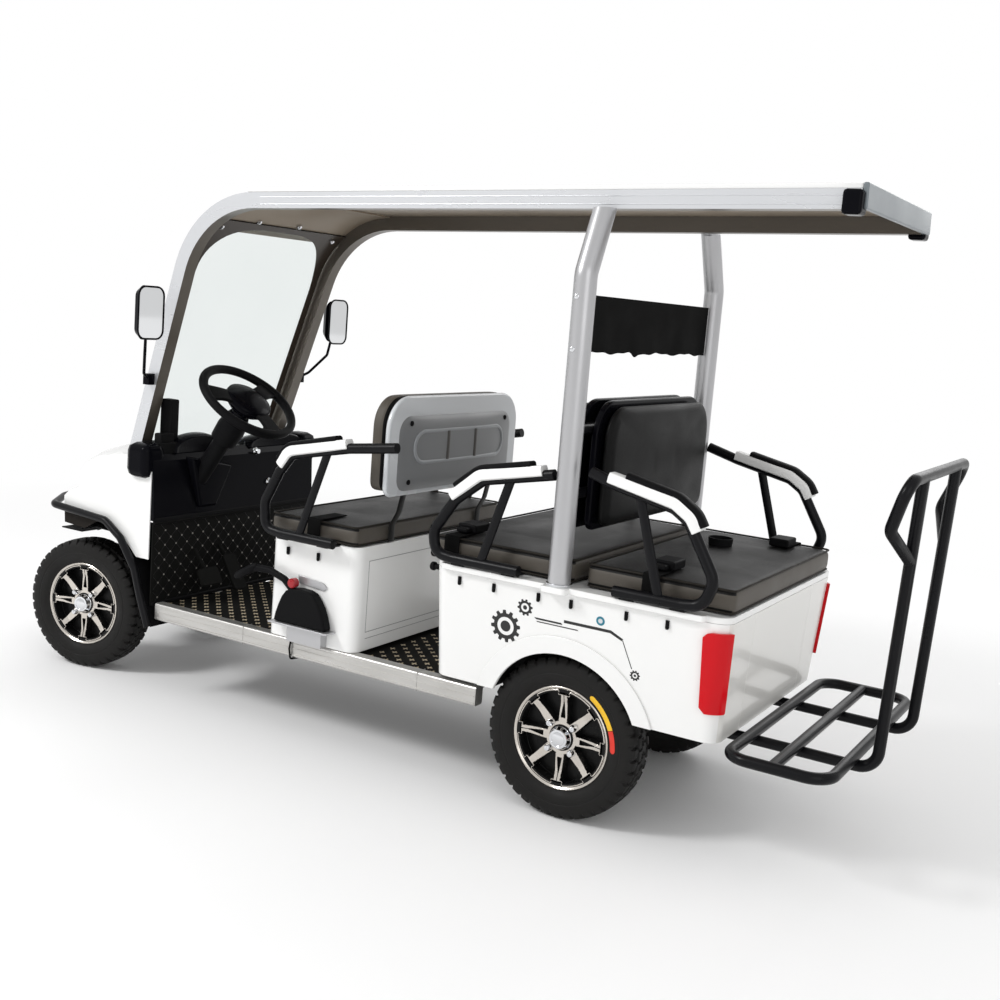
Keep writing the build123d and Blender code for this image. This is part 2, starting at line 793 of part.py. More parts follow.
with BuildPart() as front_cushion:
    soft_block(
        (-cushion_half, front_cushion_y[0], front_cushion_z[0] + seat_clearance),
        (cushion_half, front_cushion_y[1], front_cushion_z[1]),
        cushion_corner,
    )
front_cushion.part.label = "front_cushion"
export_step(front_cushion.part, "parts/front_cushion.step")

back_corner = 100
back_inset = 10               # from a shell's edge to the edge of its pad


def back_panel(y_low, y_high, half, z_range, corner):
    """An upright panel across the cart with rounded upper corners."""
    with BuildSketch(Plane.XZ.offset(-y_low)) as outline:
        with Locations((0, (z_range[0] + z_range[1]) / 2)):
            Rectangle(2 * half, z_range[1] - z_range[0])
        fillet(outline.vertices().group_by(Axis.Y)[-1], corner)
        fillet(outline.vertices().group_by(Axis.Y)[0], corner / 3)
    extrude(outline.sketch, amount=y_low - y_high)


with BuildPart() as front_backrest_shell:
    back_panel(front_back_y - back_shell, front_back_y, front_back_half, front_back_z, back_corner)
front_backrest_shell.part.label = "front_backrest_shell"
export_step(front_backrest_shell.part, "parts/front_backrest_shell.step")

with BuildPart() as front_backrest:
    pad_rear = front_back_y - back_shell - seat_clearance
    pad_z = (front_back_z[0] + back_inset, front_back_z[1] - back_inset)
    back_panel(pad_rear - back_pad, pad_rear, front_back_half - back_inset, pad_z, back_corner - back_inset)
front_backrest.part.label = "front_backrest"
export_step(front_backrest.part, "parts/front_backrest.step")

back_bar_x = 250
back_bar_radius = 9
back_bar_foot_z = 500
back_bar_bend = 10
bar_gap = back_bar_radius + 2 + seat_clearance
with BuildPart() as front_back_bars:
    for side in (1, -1):
        bent_tube(
            [
                (side * back_bar_x, seat_box_rear_y + bar_gap, back_bar_foot_z),
                (side * back_bar_x, seat_box_rear_y + bar_gap, front_cushion_z[1] - back_bar_bend),
                (side * back_bar_x, front_back_y - back_shell / 2, front_back_z[0] - 3 * back_bar_bend),
                (side * back_bar_x, front_back_y - back_shell / 2, front_back_z[0] - seat_clearance),
            ],
            25, back_bar_radius,
        )
front_back_bars.part.label = "front_back_bars"
export_step(front_back_bars.part, "parts/front_back_bars.step")

# ---- Rear body ----------------------------------------------------------------------------
def rear_form(inset):
    """The rear body as a solid that flares upwards, smaller at its sides by the inset."""
    with BuildPart(mode=Mode.PRIVATE) as form:
        for z, half, rear_y in (
            (body_bottom_z, body_bottom_half, body_rear_bottom_y),
            (deck_bottom_z, body_top_half, body_rear_top_y),
        ):
            with BuildSketch(Plane.XY.offset(z)):
                with Locations((0, (body_front_y + rear_y) / 2)):
                    RectangleRounded(
                        2 * (half - inset), rear_y - body_front_y - 2 * inset, body_corner - inset
                    )
        loft()
    return form.part


def wheel_opening(radius, mode=Mode.SUBTRACT):
    """A round bar right across the cart that cuts the rear wheel arches."""
    round_bar((-far_half, arch_y, arch_z), (far_half, arch_y, arch_z), radius, mode)


side_inner = body_bottom_half - 2 * body_corner
far_rear_y = 2 * body_rear_top_y
far_half = 2 * body_top_half
with BuildPart() as rear_side_panels:
    add(rear_form(0))
    add(rear_form(body_wall), mode=Mode.SUBTRACT)
    block((-side_inner, 0, 0), (side_inner, arch_y, deck_top_z), mode=Mode.SUBTRACT)
    block(
        (-tail_seam - seam / 2, arch_y, 0), (tail_seam + seam / 2, far_rear_y, deck_top_z), mode=Mode.SUBTRACT
    )
    wheel_opening(arch_radius)
rear_side_panels.part.label = "rear_side_panels"
export_step(rear_side_panels.part, "parts/rear_side_panels.step")

with BuildPart() as arch_flares:
    add(rear_form(-flare_height))
    add(rear_form(0), mode=Mode.SUBTRACT)
    wheel_opening(arch_radius + flare_width, Mode.INTERSECT)
    wheel_opening(arch_radius)
arch_flares.part.label = "arch_flares"
export_step(arch_flares.part, "parts/arch_flares.step")

with BuildPart() as tail_panel:
    add(rear_form(0))
    add(rear_form(body_wall), mode=Mode.SUBTRACT)
    block(
        (-tail_seam + seam / 2, arch_y, 0), (tail_seam - seam / 2, far_rear_y, deck_top_z), mode=Mode.INTERSECT
    )
tail_panel.part.label = "tail_panel"
export_step(tail_panel.part, "parts/tail_panel.step")

with BuildPart() as rear_seat_front:
    add(rear_form(0))
    add(rear_form(body_wall), mode=Mode.SUBTRACT)
    block((seam - side_inner, 0, 0), (side_inner - seam, arch_y, deck_top_z), mode=Mode.INTERSECT)
rear_seat_front.part.label = "rear_seat_front"
export_step(rear_seat_front.part, "parts/rear_seat_front.step")

tail_lamp_z = (405, 620)
tail_lamp_inner = 370
tail_lamp_front_y = 1062
tail_lamp_proud = 10
with BuildPart() as tail_lamps:
    add(rear_form(-tail_lamp_proud))
    add(rear_form(0), mode=Mode.SUBTRACT)
    block(
        (-far_half, tail_lamp_front_y, tail_lamp_z[0]), (far_half, far_rear_y, tail_lamp_z[1]),
        mode=Mode.INTERSECT,
    )
    block((-tail_lamp_inner, 0, 0), (tail_lamp_inner, far_rear_y, deck_top_z), mode=Mode.SUBTRACT)
tail_lamps.part.label = "tail_lamps"
export_step(tail_lamps.part, "parts/tail_lamps.step")

post_pad = 38
lip_corner = 12
with BuildPart() as rear_seat_deck:
    with BuildSketch(Plane.XY.offset(deck_bottom_z)):
        with Locations((0, (body_front_y + body_rear_top_y) / 2)):
            RectangleRounded(2 * body_top_half, body_rear_top_y - body_front_y, body_corner)
        with Locations((0, (lip_front_y + lip_rear_y) / 2)):
            RectangleRounded(2 * lip_half, lip_rear_y - lip_front_y, lip_corner)
        with Locations((0, post_y)):
            RectangleRounded(2 * (post_x + post_pad), 2 * post_pad, lip_corner)
    extrude(amount=deck_top_z - deck_bottom_z)
rear_seat_deck.part.label = "rear_seat_deck"
export_step(rear_seat_deck.part, "parts/rear_seat_deck.step")

# columns: name, front edge, rear edge
for cushion_name, y_low, y_high in (("middle_cushion", 221, 682), ("rear_cushion", 716, 1130)):
    with BuildPart() as cushion:
        soft_block(
            (-cushion_half, y_low, rear_cushion_z[0] + seat_clearance),
            (cushion_half, y_high, rear_cushion_z[1]),
            cushion_corner,
        )
    cushion.part.label = cushion_name
    export_step(cushion.part, f"parts/{cushion_name}.step")

back_tube_radius = 14
back_tube_z = (900, 1070)
middle_shell_y = post_y - back_tube_radius - seat_clearance
rear_shell_y = post_y + back_tube_radius + seat_clearance
between_posts_half = post_x - post_radius - seat_clearance
with BuildPart() as backrest_frame:
    for z in back_tube_z:
        round_bar((-between_posts_half, post_y, z), (between_posts_half, post_y, z), back_tube_radius)
backrest_frame.part.label = "backrest_frame"
export_step(backrest_frame.part, "parts/backrest_frame.step")

rear_pad_z = (rear_back_z[0] + back_inset, rear_back_z[1] - back_inset)
# columns: name, rear or front face that meets the tubes, direction the seat faces
for back_name, shell_y, facing in (
    ("middle_backrest", middle_shell_y, -1),
    ("rear_backrest", rear_shell_y, 1),
):
    shell_face = shell_y + facing * back_shell
    pad_back = shell_face + facing * seat_clearance
    pad_face = pad_back + facing * back_pad
    with BuildPart() as shell:
        back_panel(*sorted((shell_y, shell_face)), rear_back_half, rear_back_z, back_corner)
    shell.part.label = f"{back_name}_shell"
    export_step(shell.part, f"parts/{back_name}_shell.step")
    with BuildPart() as pad:
        back_panel(
            *sorted((pad_back, pad_face)), rear_back_half - back_inset, rear_pad_z, back_corner - back_inset
        )
    pad.part.label = back_name
    export_step(pad.part, f"parts/{back_name}.step")

# ---- Roof ---------------------------------------------------------------------------------
roof_slope = (rail_edge_rear[2] - rail_edge_front[2]) / (rail_edge_rear[1] - rail_edge_front[1])
roof_angle = atan(roof_slope)
roof_up = Vector(0, -sin(roof_angle), cos(roof_angle))
lean = tan(radians(pillar_lean))
depth = rail_face_depth / 2
# middle line of the straight rail: z = rail_a + roof_slope * y; of the pillar: y = pillar_a + lean * z
rail_a = rail_edge_rear[2] - roof_slope * rail_edge_rear[1] + depth / cos(roof_angle)
pillar_a = pillar_edge_foot[1] - lean * pillar_edge_foot[2] - depth / cos(radians(pillar_lean))
bend_y = (pillar_a + lean * rail_a) / (1 - lean * roof_slope)
bend_z = rail_a + roof_slope * bend_y
inner_slope = (rail_edge_front[0] - pillar_edge_foot[0]) / (rail_edge_front[2] - pillar_edge_foot[2])
side_slope = (rail_edge_front[0] - rail_edge_rear[0]) / (rail_edge_rear[1] - rail_edge_front[1])
bend_x = pillar_edge_foot[0] + inner_slope * (bend_z - pillar_edge_foot[2]) - rail_face_width / 2
rear_x = rail_edge_rear[0] - rail_face_width / 2
foot_low_z = cowl_top_z - 60
foot_x = pillar_edge_foot[0] + inner_slope * (foot_low_z - pillar_edge_foot[2]) - rail_face_width / 2
pillar_run = [
    (rear_x, rail_edge_rear[1], rail_a + roof_slope * rail_edge_rear[1]),
    (bend_x, bend_y, bend_z),
    (foot_x, pillar_a + lean * foot_low_z, foot_low_z),
]

with BuildPart() as roof_rails:
    bent_bar(pillar_run, rail_bend_radius + depth, rail_face_width, rail_face_depth)
    split(bisect_by=Plane.XY.offset(cowl_top_z + seat_clearance), keep=Keep.TOP)
    mirror(about=Plane.YZ)
roof_rails.part.label = "roof_rails"
export_step(roof_rails.part, "parts/roof_rails.step")

roof_overlap = 25
roof_front_y = rail_edge_front[1] - roof_overlap
roof_inset = 8
roof_plane = Plane(
    origin=(0, rail_edge_rear[1], rail_a + roof_slope * rail_edge_rear[1]), x_dir=(1, 0, 0), z_dir=roof_up
).offset(depth + seat_clearance)
with BuildPart() as roof_panel:
    with BuildSketch(roof_plane):
        with BuildLine():
            length = rail_edge_rear[1] - roof_front_y
            rear_half = rail_edge_rear[0] - roof_inset
            front_half = rear_half + side_slope * length
            Polyline(
                (rear_half, 0), (front_half, -length), (-front_half, -length), (-rear_half, 0), close=True
            )
        make_face()
    extrude(amount=roof_thickness)
roof_panel.part.label = "roof_panel"
export_step(roof_panel.part, "parts/roof_panel.step")

with BuildPart() as roof_tail_bar:
    tail_plane = Plane(origin=pillar_run[0], x_dir=(1, 0, 0), z_dir=(0, cos(roof_angle), sin(roof_angle)))
    with BuildSketch(tail_plane.offset(3 * seat_clearance)):
        with Locations((-pillar_run[0][0], -(roof_thickness + seat_clearance) / 2)):
            RectangleRounded(2 * rail_edge_rear[0], rail_face_depth + roof_thickness + seat_clearance, 6)
    extrude(amount=tail_bar_thickness)
roof_tail_bar.part.label = "roof_tail_bar"
export_step(roof_tail_bar.part, "parts/roof_tail_bar.step")

post_plane_z = rail_edge_rear[2] - roof_slope * (rail_edge_rear[1] - post_y)
with BuildPart() as rear_posts:
    bent_tube(
        [
            (post_x, post_y, deck_top_z + seat_clearance), (post_x, post_y, post_bend_z),
            (post_top_x, post_y, post_plane_z + 5), (post_top_x - 20, post_y, post_plane_z + 50),
        ],
        60, post_radius, post_wall,
    )
    split(
        bisect_by=Plane(origin=(0, post_y, post_plane_z - seat_clearance), z_dir=roof_up), keep=Keep.BOTTOM
    )
    mirror(about=Plane.YZ)
rear_posts.part.label = "rear_posts"
export_step(rear_posts.part, "parts/rear_posts.step")

with BuildPart() as curtain:
    block(
        (-between_posts_half, post_y - curtain_thickness / 2, curtain_z[0]),
        (between_posts_half, post_y + curtain_thickness / 2, curtain_z[1]),
    )
curtain.part.label = "curtain"
export_step(curtain.part, "parts/curtain.step")

# The windscreen is a clear sheet that follows the pillars and their bend up to the header.
header_low_z = 1545
roof_top_z = rail_edge_rear[2] + 2 * rail_face_depth
glass_top_z = 1575
glass_foot_z = cowl_top_z + 2
header_thickness = 6
bend_centre = (
    (pillar_edge_foot[1] - lean * pillar_edge_foot[2] + rail_bend_radius / cos(radians(pillar_lean))
     + lean * (rail_edge_rear[2] - roof_slope * rail_edge_rear[1] - rail_bend_radius / cos(roof_angle)))
    / (1 - lean * roof_slope)
)
bend_centre_z = (
    rail_edge_rear[2] - roof_slope * (rail_edge_rear[1] - bend_centre) - rail_bend_radius / cos(roof_angle)
)


def bend_point(angle, offset):
    """A point on the roof's front bend, offset outwards from the lower edge of the rail."""
    radius = rail_bend_radius + offset
    return (bend_centre - radius * cos(angle), bend_centre_z + radius * sin(angle))


def bend_angle(z, offset):
    """The angle on the bend at which it reaches a height."""
    return asin((z - bend_centre_z) / (rail_bend_radius + offset))


header_offset = rail_face_depth - header_thickness / 2
glass_offset = header_offset - header_thickness / 2 - glass_thickness / 2 - seat_clearance
glass_side_gap = 1.5
glass_half_low = pillar_edge_foot[0] - rail_face_width - glass_side_gap
glass_half_high = glass_half_low + inner_slope * (glass_top_z - pillar_edge_foot[2])
header_half = glass_half_high - 2 * glass_side_gap
with BuildPart() as roof_header:
    low = bend_angle(header_low_z, header_offset)
    high = pi / 2 - roof_angle
    with BuildSketch(Plane.YZ.offset(-header_half)):
        with BuildLine():
            ThreePointArc(
                bend_point(low, header_offset), bend_point((low + high) / 2, header_offset),
                bend_point(high, header_offset),
            )
        trace(line_width=header_thickness)
    extrude(amount=2 * header_half)
    block((-far_half, rail_edge_front[1], 0), (far_half, far_rear_y, roof_top_z), mode=Mode.SUBTRACT)
roof_header.part.label = "roof_header"
export_step(roof_header.part, "parts/roof_header.step")

with BuildPart() as windshield:
    low = radians(pillar_lean)
    high = bend_angle(glass_top_z, glass_offset)
    tangent = bend_point(low, glass_offset)
    with BuildSketch(Plane.YZ.offset(-glass_half_high)):
        with BuildLine():
            Line((tangent[0] - lean * (tangent[1] - glass_foot_z), glass_foot_z), tangent)
            ThreePointArc(tangent, bend_point((low + high) / 2, glass_offset), bend_point(high, glass_offset))
        trace(line_width=glass_thickness)
    extrude(amount=2 * glass_half_high)
    with BuildSketch(Plane.XZ):
        with BuildLine():
            Polyline(
                (glass_half_low, glass_foot_z), (glass_half_high, glass_top_z),
                (glass_half_high, roof_top_z), (-glass_half_high, roof_top_z),
                (-glass_half_high, glass_top_z), (-glass_half_low, glass_foot_z),
                close=True,
            )
        make_face()
    extrude(amount=-wheel_arch_front_y, mode=Mode.INTERSECT)
windshield.part.label = "windshield"
export_step(windshield.part, "parts/windshield.step")

mirror_centre = (466, -859, 1263)
mirror_width = 115
mirror_height = 175
mirror_depth = 24
mirror_corner = 30
mirror_turn = 0.25            # sideways part of the mirror's facing
clamp_z = 1045
clamp_size = 26
stem_radius = 5
with BuildPart() as mirrors:
    clamp_y = pillar_a + lean * clamp_z
    clamp_x = pillar_edge_foot[0] + inner_slope * (clamp_z - pillar_edge_foot[2])
    with BuildSketch(Plane(origin=mirror_centre, x_dir=(1, mirror_turn, 0), z_dir=(-mirror_turn, 1, 0))):
        RectangleRounded(mirror_width, mirror_height, mirror_corner)
    extrude(amount=-mirror_depth)
    with Locations((clamp_x + clamp_size / 2 + 3 * seat_clearance, clamp_y, clamp_z)):
        Box(clamp_size, clamp_size, clamp_size + 10)
    bent_tube(
        [
            (clamp_x + clamp_size / 2, clamp_y, clamp_z), (clamp_x + 50, clamp_y + 15, clamp_z + 20),
            (mirror_centre[0] - 10, mirror_centre[1] - 22, clamp_z + 90),
            (
                mirror_centre[0] - 4, mirror_centre[1] - mirror_depth / 2,
                mirror_centre[2] - mirror_height / 2 + 8,
            ),
        ],
        18, stem_radius,
    )
    mirror(about=Plane.YZ)
mirrors.part.label = "mirrors"
export_step(mirrors.part, "parts/mirrors.step")

# ---- Armrests -----------------------------------------------------------------------------
pad_thickness = 20
pad_width = 44


def raised(points, height):
    """A line through the cart's side view, moved to its left by a height, corner by corner."""
    ways = [Vector(b[0] - a[0], b[1] - a[1]).normalized() for a, b in zip(points, points[1:])]
    ways = [ways[0], *ways, ways[-1]]
    moved = []
    for (y, z), before, after in zip(points, ways, ways[1:]):
        normal = (Vector(-before.Y, before.X) + Vector(-after.Y, after.X)).normalized()
        stretch = height / (normal.X * -before.Y + normal.Y * before.X)
        moved.append((y + normal.X * stretch, z + normal.Y * stretch))
    return moved


post_gap = 3
post_front_y = post_y - post_radius - post_gap
post_rear_y = post_y + post_radius + post_gap
# Each set is a lower loop, an upper tube, a strut, the part of the upper line under the pad, all as
# (Y, Z) in the armrest's plane, and the feet as (Y, height of the tube above each).
armrest_sets = {
    "front": dict(
        loop=[(-80, 650), (-351, 718), (-264, 860)],
        upper=[(-282, 846), (-250, 888), (-44, 934), (121, 955)],
        strut=[(-121, 916), (-213, 684)],
        pad=[(-282, 846), (-250, 888), (-44, 934)],
        feet=[],
    ),
    "middle": dict(
        loop=[(545, 678), (252, 702), (343, 848)],
        upper=[(326, 840), (412, 907), (post_front_y, 950)],
        strut=[(497, 924), (421, 690)],
        pad=[(326, 840), (412, 907), (596, 944)],
        feet=[(530, 679), (310, 697)],
    ),
    "rear": dict(
        loop=[(821, 675), (1068, 690), (1086, 768), (1042, 838)],
        upper=[(post_rear_y, 962), (775, 942), (1028, 858), (1050, 838)],
        strut=[(880, 904), (945, 684)],
        pad=[(775, 942), (1028, 858), (1050, 838)],
        feet=[(835, 676), (1035, 688)],
    ),
}
bracket_z = 612
bracket_half = (6, 16, 14)    # across, along the cart, up
bracket_pin_radius = 8
foot_radius = 6
foot_inset = 8
strut_radius = armrest_radius - 3
upper_bend = 18
for set_name, runs in armrest_sets.items():
    with BuildPart() as armrests:
        for key, bend in (("loop", armrest_bend), ("upper", upper_bend)):
            bent_tube([(armrest_x, y, z) for y, z in runs[key]], bend, armrest_radius)
        round_bar(*[(armrest_x, y, z) for y, z in runs["strut"]], strut_radius)
        for y, z in runs["feet"]:
            foot_x = lip_half - foot_inset
            round_bar((foot_x, y, deck_top_z + seat_clearance), (foot_x, y, z), foot_radius)
        if set_name == "front":
            across, along, up = bracket_half
            for y, z in (runs["loop"][0], runs["strut"][1]):
                block((armrest_x - across, y - along, bracket_z - up), (armrest_x + across, y + along, z))
                bracket_foot = (seat_box_half + seat_clearance, y, bracket_z)
                round_bar(bracket_foot, (armrest_x, y, bracket_z), bracket_pin_radius)
        mirror(about=Plane.YZ)
    armrests.part.label = f"armrests_{set_name}"
    export_step(armrests.part, f"parts/armrests_{set_name}.step")

with BuildPart() as armrest_pads:
    for runs in armrest_sets.values():
        with BuildSketch(Plane.YZ.offset(armrest_x - pad_width / 2)):
            with BuildLine():
                Polyline(*raised(runs["pad"], armrest_radius + seat_clearance + pad_thickness / 2))
            trace(line_width=pad_thickness)
        extrude(amount=pad_width)
    mirror(about=Plane.YZ)
armrest_pads.part.label = "armrest_pads"
export_step(armrest_pads.part, "parts/armrest_pads.step")

# ---- Handbrake ----------------------------------------------------------------------------
brake_thickness = 22
brake_plate = 6
lever_radius = 9
ring_outer = 16
ring_inner = 8
# columns: Y, height of the housing's corners, from its lower front corner round
brake_housing = [(-330, 385), (-300, 375), (-150, 420), (-130, 470), (-170, 490), (-320, 430)]
lever_run = [(-300, 420), (-392, 505)]
ring_at = (-264, 485)
# columns: two opposite corners of a link plate, as Y and height
brake_plates = [((-228, 440), (-150, 512)), ((-275, 440), (-253, 472))]
with BuildPart() as handbrake:
    brake_x = seat_box_half + seat_clearance
    with BuildSketch(Plane.YZ.offset(brake_x)):
        with BuildLine():
            Polyline(*brake_housing, close=True)
        make_face()
    extrude(amount=brake_thickness)
    round_bar(*[(brake_x + brake_thickness / 2, y, z) for y, z in lever_run], lever_radius)
    with BuildSketch(Plane.YZ.offset(brake_x)):
        with Locations(ring_at):
            Circle(ring_outer)
            Circle(ring_inner, mode=Mode.SUBTRACT)
    extrude(amount=brake_thickness / 2)
    for low, high in brake_plates:
        block((brake_x, *low), (brake_x + brake_plate, *high))
handbrake.part.label = "handbrake"
export_step(handbrake.part, "parts/handbrake.step")

# ---- Rear rack ----------------------------------------------------------------------------
rack_corner = 60
upright_top_x = 198
upright_low_y = 1468
upright_bend = 50
handle_bend = 40
handle_low_z = rack_handle_z - 211
handle_side_x = 345
handle_turn = (290, rack_handle_y - 44, rack_handle_z - 130)
with BuildPart() as rear_rack:
    bent_tube(
        [
            (-rack_half, rack_front_y, rack_z), (rack_half, rack_front_y, rack_z),
            (rack_half, rack_rear_y, rack_z), (-rack_half, rack_rear_y, rack_z),
        ],
        rack_corner, rack_radius, closed=True,
    )
    round_bar((-rack_half, rack_cross_y, rack_z), (rack_half, rack_cross_y, rack_z), rack_radius)
    handle_low_y = upright_low_y + (rack_handle_y - upright_low_y) * (handle_low_z - rack_bar_z) / (
        rack_handle_z - rack_bar_z
    )
    for side in (1, -1):
        bent_tube(
            [
                (side * rack_bar_x, rack_clamp_y[0] - rack_radius, rack_bar_z),
                (side * rack_bar_x, upright_low_y, rack_bar_z),
                (side * upright_top_x, rack_handle_y, rack_handle_z),
            ],
            upright_bend, rack_radius,
        )
    half_loop = [
        (upright_top_x, handle_low_y, handle_low_z), handle_turn,
        (handle_side_x, rack_handle_y, rack_handle_z),
    ]
    bent_tube(half_loop + [(-x, y, z) for x, y, z in half_loop[::-1]], handle_bend, rack_radius)
rear_rack.part.label = "rear_rack"
export_step(rear_rack.part, "parts/rear_rack.step")
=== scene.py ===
# %% [markdown]
# # A six-seat golf cart
# The frame holds every rigid piece of the cart at its real place and size, in metres: the nose
# points to -Y, the driver sits on the +X side, and the wheels stand on Z = 0. The cells below dress
# that frame. Each one says what a piece or a finish is on the real cart before it makes it.

# %% Load the frame
import json
from math import cos, pi, radians, sin, tan

import bmesh
import bpy
import numpy as np
from mathutils import Matrix, Vector
from mathutils.bvhtree import BVHTree

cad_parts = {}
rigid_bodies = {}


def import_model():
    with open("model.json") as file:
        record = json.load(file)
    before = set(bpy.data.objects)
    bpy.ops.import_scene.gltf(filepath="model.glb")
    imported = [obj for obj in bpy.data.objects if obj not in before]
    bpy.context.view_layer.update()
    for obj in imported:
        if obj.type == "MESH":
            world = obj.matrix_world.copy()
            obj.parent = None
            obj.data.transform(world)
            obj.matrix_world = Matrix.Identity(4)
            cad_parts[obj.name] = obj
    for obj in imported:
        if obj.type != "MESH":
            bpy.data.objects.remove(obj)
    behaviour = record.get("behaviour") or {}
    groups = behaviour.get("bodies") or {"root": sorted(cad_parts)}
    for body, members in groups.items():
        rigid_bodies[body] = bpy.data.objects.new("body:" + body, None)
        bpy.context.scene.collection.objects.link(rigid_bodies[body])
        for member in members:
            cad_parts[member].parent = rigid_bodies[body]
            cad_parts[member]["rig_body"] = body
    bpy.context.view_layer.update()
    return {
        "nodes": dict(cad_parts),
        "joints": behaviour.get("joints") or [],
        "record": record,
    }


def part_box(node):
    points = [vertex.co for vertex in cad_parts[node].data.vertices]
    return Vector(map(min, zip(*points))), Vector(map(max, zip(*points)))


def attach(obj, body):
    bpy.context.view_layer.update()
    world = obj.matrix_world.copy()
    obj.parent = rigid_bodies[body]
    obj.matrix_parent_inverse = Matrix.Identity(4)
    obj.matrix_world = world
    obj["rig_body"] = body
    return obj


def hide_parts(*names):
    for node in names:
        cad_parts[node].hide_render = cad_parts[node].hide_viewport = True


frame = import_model()
scene = bpy.context.scene

# %% [markdown]
# ## Camera
# A camera is a place and three directions. Heading, climb and roll are turned into the three
# columns of its matrix, so it looks at the cart from behind its left rear corner, at chest height.

# %% Camera
eye = Vector((3.2615, 2.1097, 1.3686))
heading, climb, roll = 3.6654, -0.1451, 0.0807
ahead = Vector((cos(climb) * cos(heading), cos(climb) * sin(heading), sin(climb)))
level_right = ahead.cross(Vector((0, 0, 1))).normalized()
level_up = level_right.cross(ahead)
right = level_right * cos(roll) + level_up * sin(roll)
up = level_up * cos(roll) - level_right * sin(roll)
camera = bpy.data.objects.new("camera", bpy.data.cameras.new("camera"))
scene.collection.objects.link(camera)
camera.matrix_world = Matrix.Translation(eye) @ Matrix((right, up, -ahead)).transposed().to_4x4()
camera.data.sensor_width = 36
camera.data.lens = 44.37
camera.data.shift_x = -0.0083
camera.data.shift_y = -0.0116
scene.camera = camera
scene.view_settings.view_transform = "Standard"
print(f"camera: {eye.z:.2f} m above the ground, {eye.xy.length:.2f} m from the cart's middle")

# %% [markdown]
# ## Studio
# Large lamps give soft edges to shadows. The world is plain white for the camera and through glass,
# and a little dimmer in reflections and for the light that falls on the cart, so white panels keep
# their shading.

# %% Studio
dim_sky = 0.80
world = bpy.data.worlds.new("studio")
world.use_nodes = True
scene.world = world
sky = world.node_tree.nodes
sky_links = world.node_tree.links
paths = sky.new("ShaderNodeLightPath")
seen = sky.new("ShaderNodeMath")
seen.operation = "MAXIMUM"
sky_links.new(paths.outputs["Is Camera Ray"], seen.inputs[0])
sky_links.new(paths.outputs["Is Transmission Ray"], seen.inputs[1])
strength = sky.new("ShaderNodeMapRange")
strength.inputs["To Min"].default_value = dim_sky
strength.inputs["To Max"].default_value = 1.0
sky_links.new(seen.outputs[0], strength.inputs["Value"])
sky_links.new(strength.outputs[0], sky["Background"].inputs["Strength"])
sky["Background"].inputs["Color"].default_value = (1, 1, 1, 1)
print("world: white, dimmed to", dim_sky, "for light")

# %% [markdown]
# ## Lamps
# Three square lamps stand round the cart: a strong one high at its left front, a weak one near the
# camera that opens the shadows, and a third one on its right. Each is turned towards the middle of
# the cart, so that only its place has to be chosen.

# %% Lamps
def lamp(name, place, target, size, power):
    """A square lamp at a place, turned towards a target."""
    data = bpy.data.lights.new(name, "AREA")
    data.energy = power
    data.size = size
    thing = bpy.data.objects.new(name, data)
    thing.matrix_world = (
        Matrix.Translation(place)
        @ (Vector(target) - Vector(place)).to_track_quat("-Z", "Y").to_matrix().to_4x4()
    )
    scene.collection.objects.link(thing)


lamp_target = Vector((0, 0, 0.8))
# columns: name, place, width of the lamp, power
for lamp_row in [
    ("key_lamp", (4.2, -3.2, 4.6), 1.4, 190),
    ("fill_lamp", (3.6, 4.2, 2.4), 3.0, 30),
    ("back_lamp", (-4.5, 1.0, 3.2), 2.5, 40),
]:
    lamp(lamp_row[0], lamp_row[1], lamp_target, lamp_row[2], lamp_row[3])
    print(lamp_row[0], lamp_row[3], "W")

# %% [markdown]
# ## Finishes
# A painted, moulded or sewn surface is never one flat colour: dust and handling shift its tone a
# little, and its grain breaks up the highlight. One function builds all of them from three ideas:
# a slow noise that drifts between two close colours, the same noise moving the roughness, and a
# fine grain in the bump. They read Object coordinates, so they stay put on the cart.

# %% Finish builder
finishes = {}


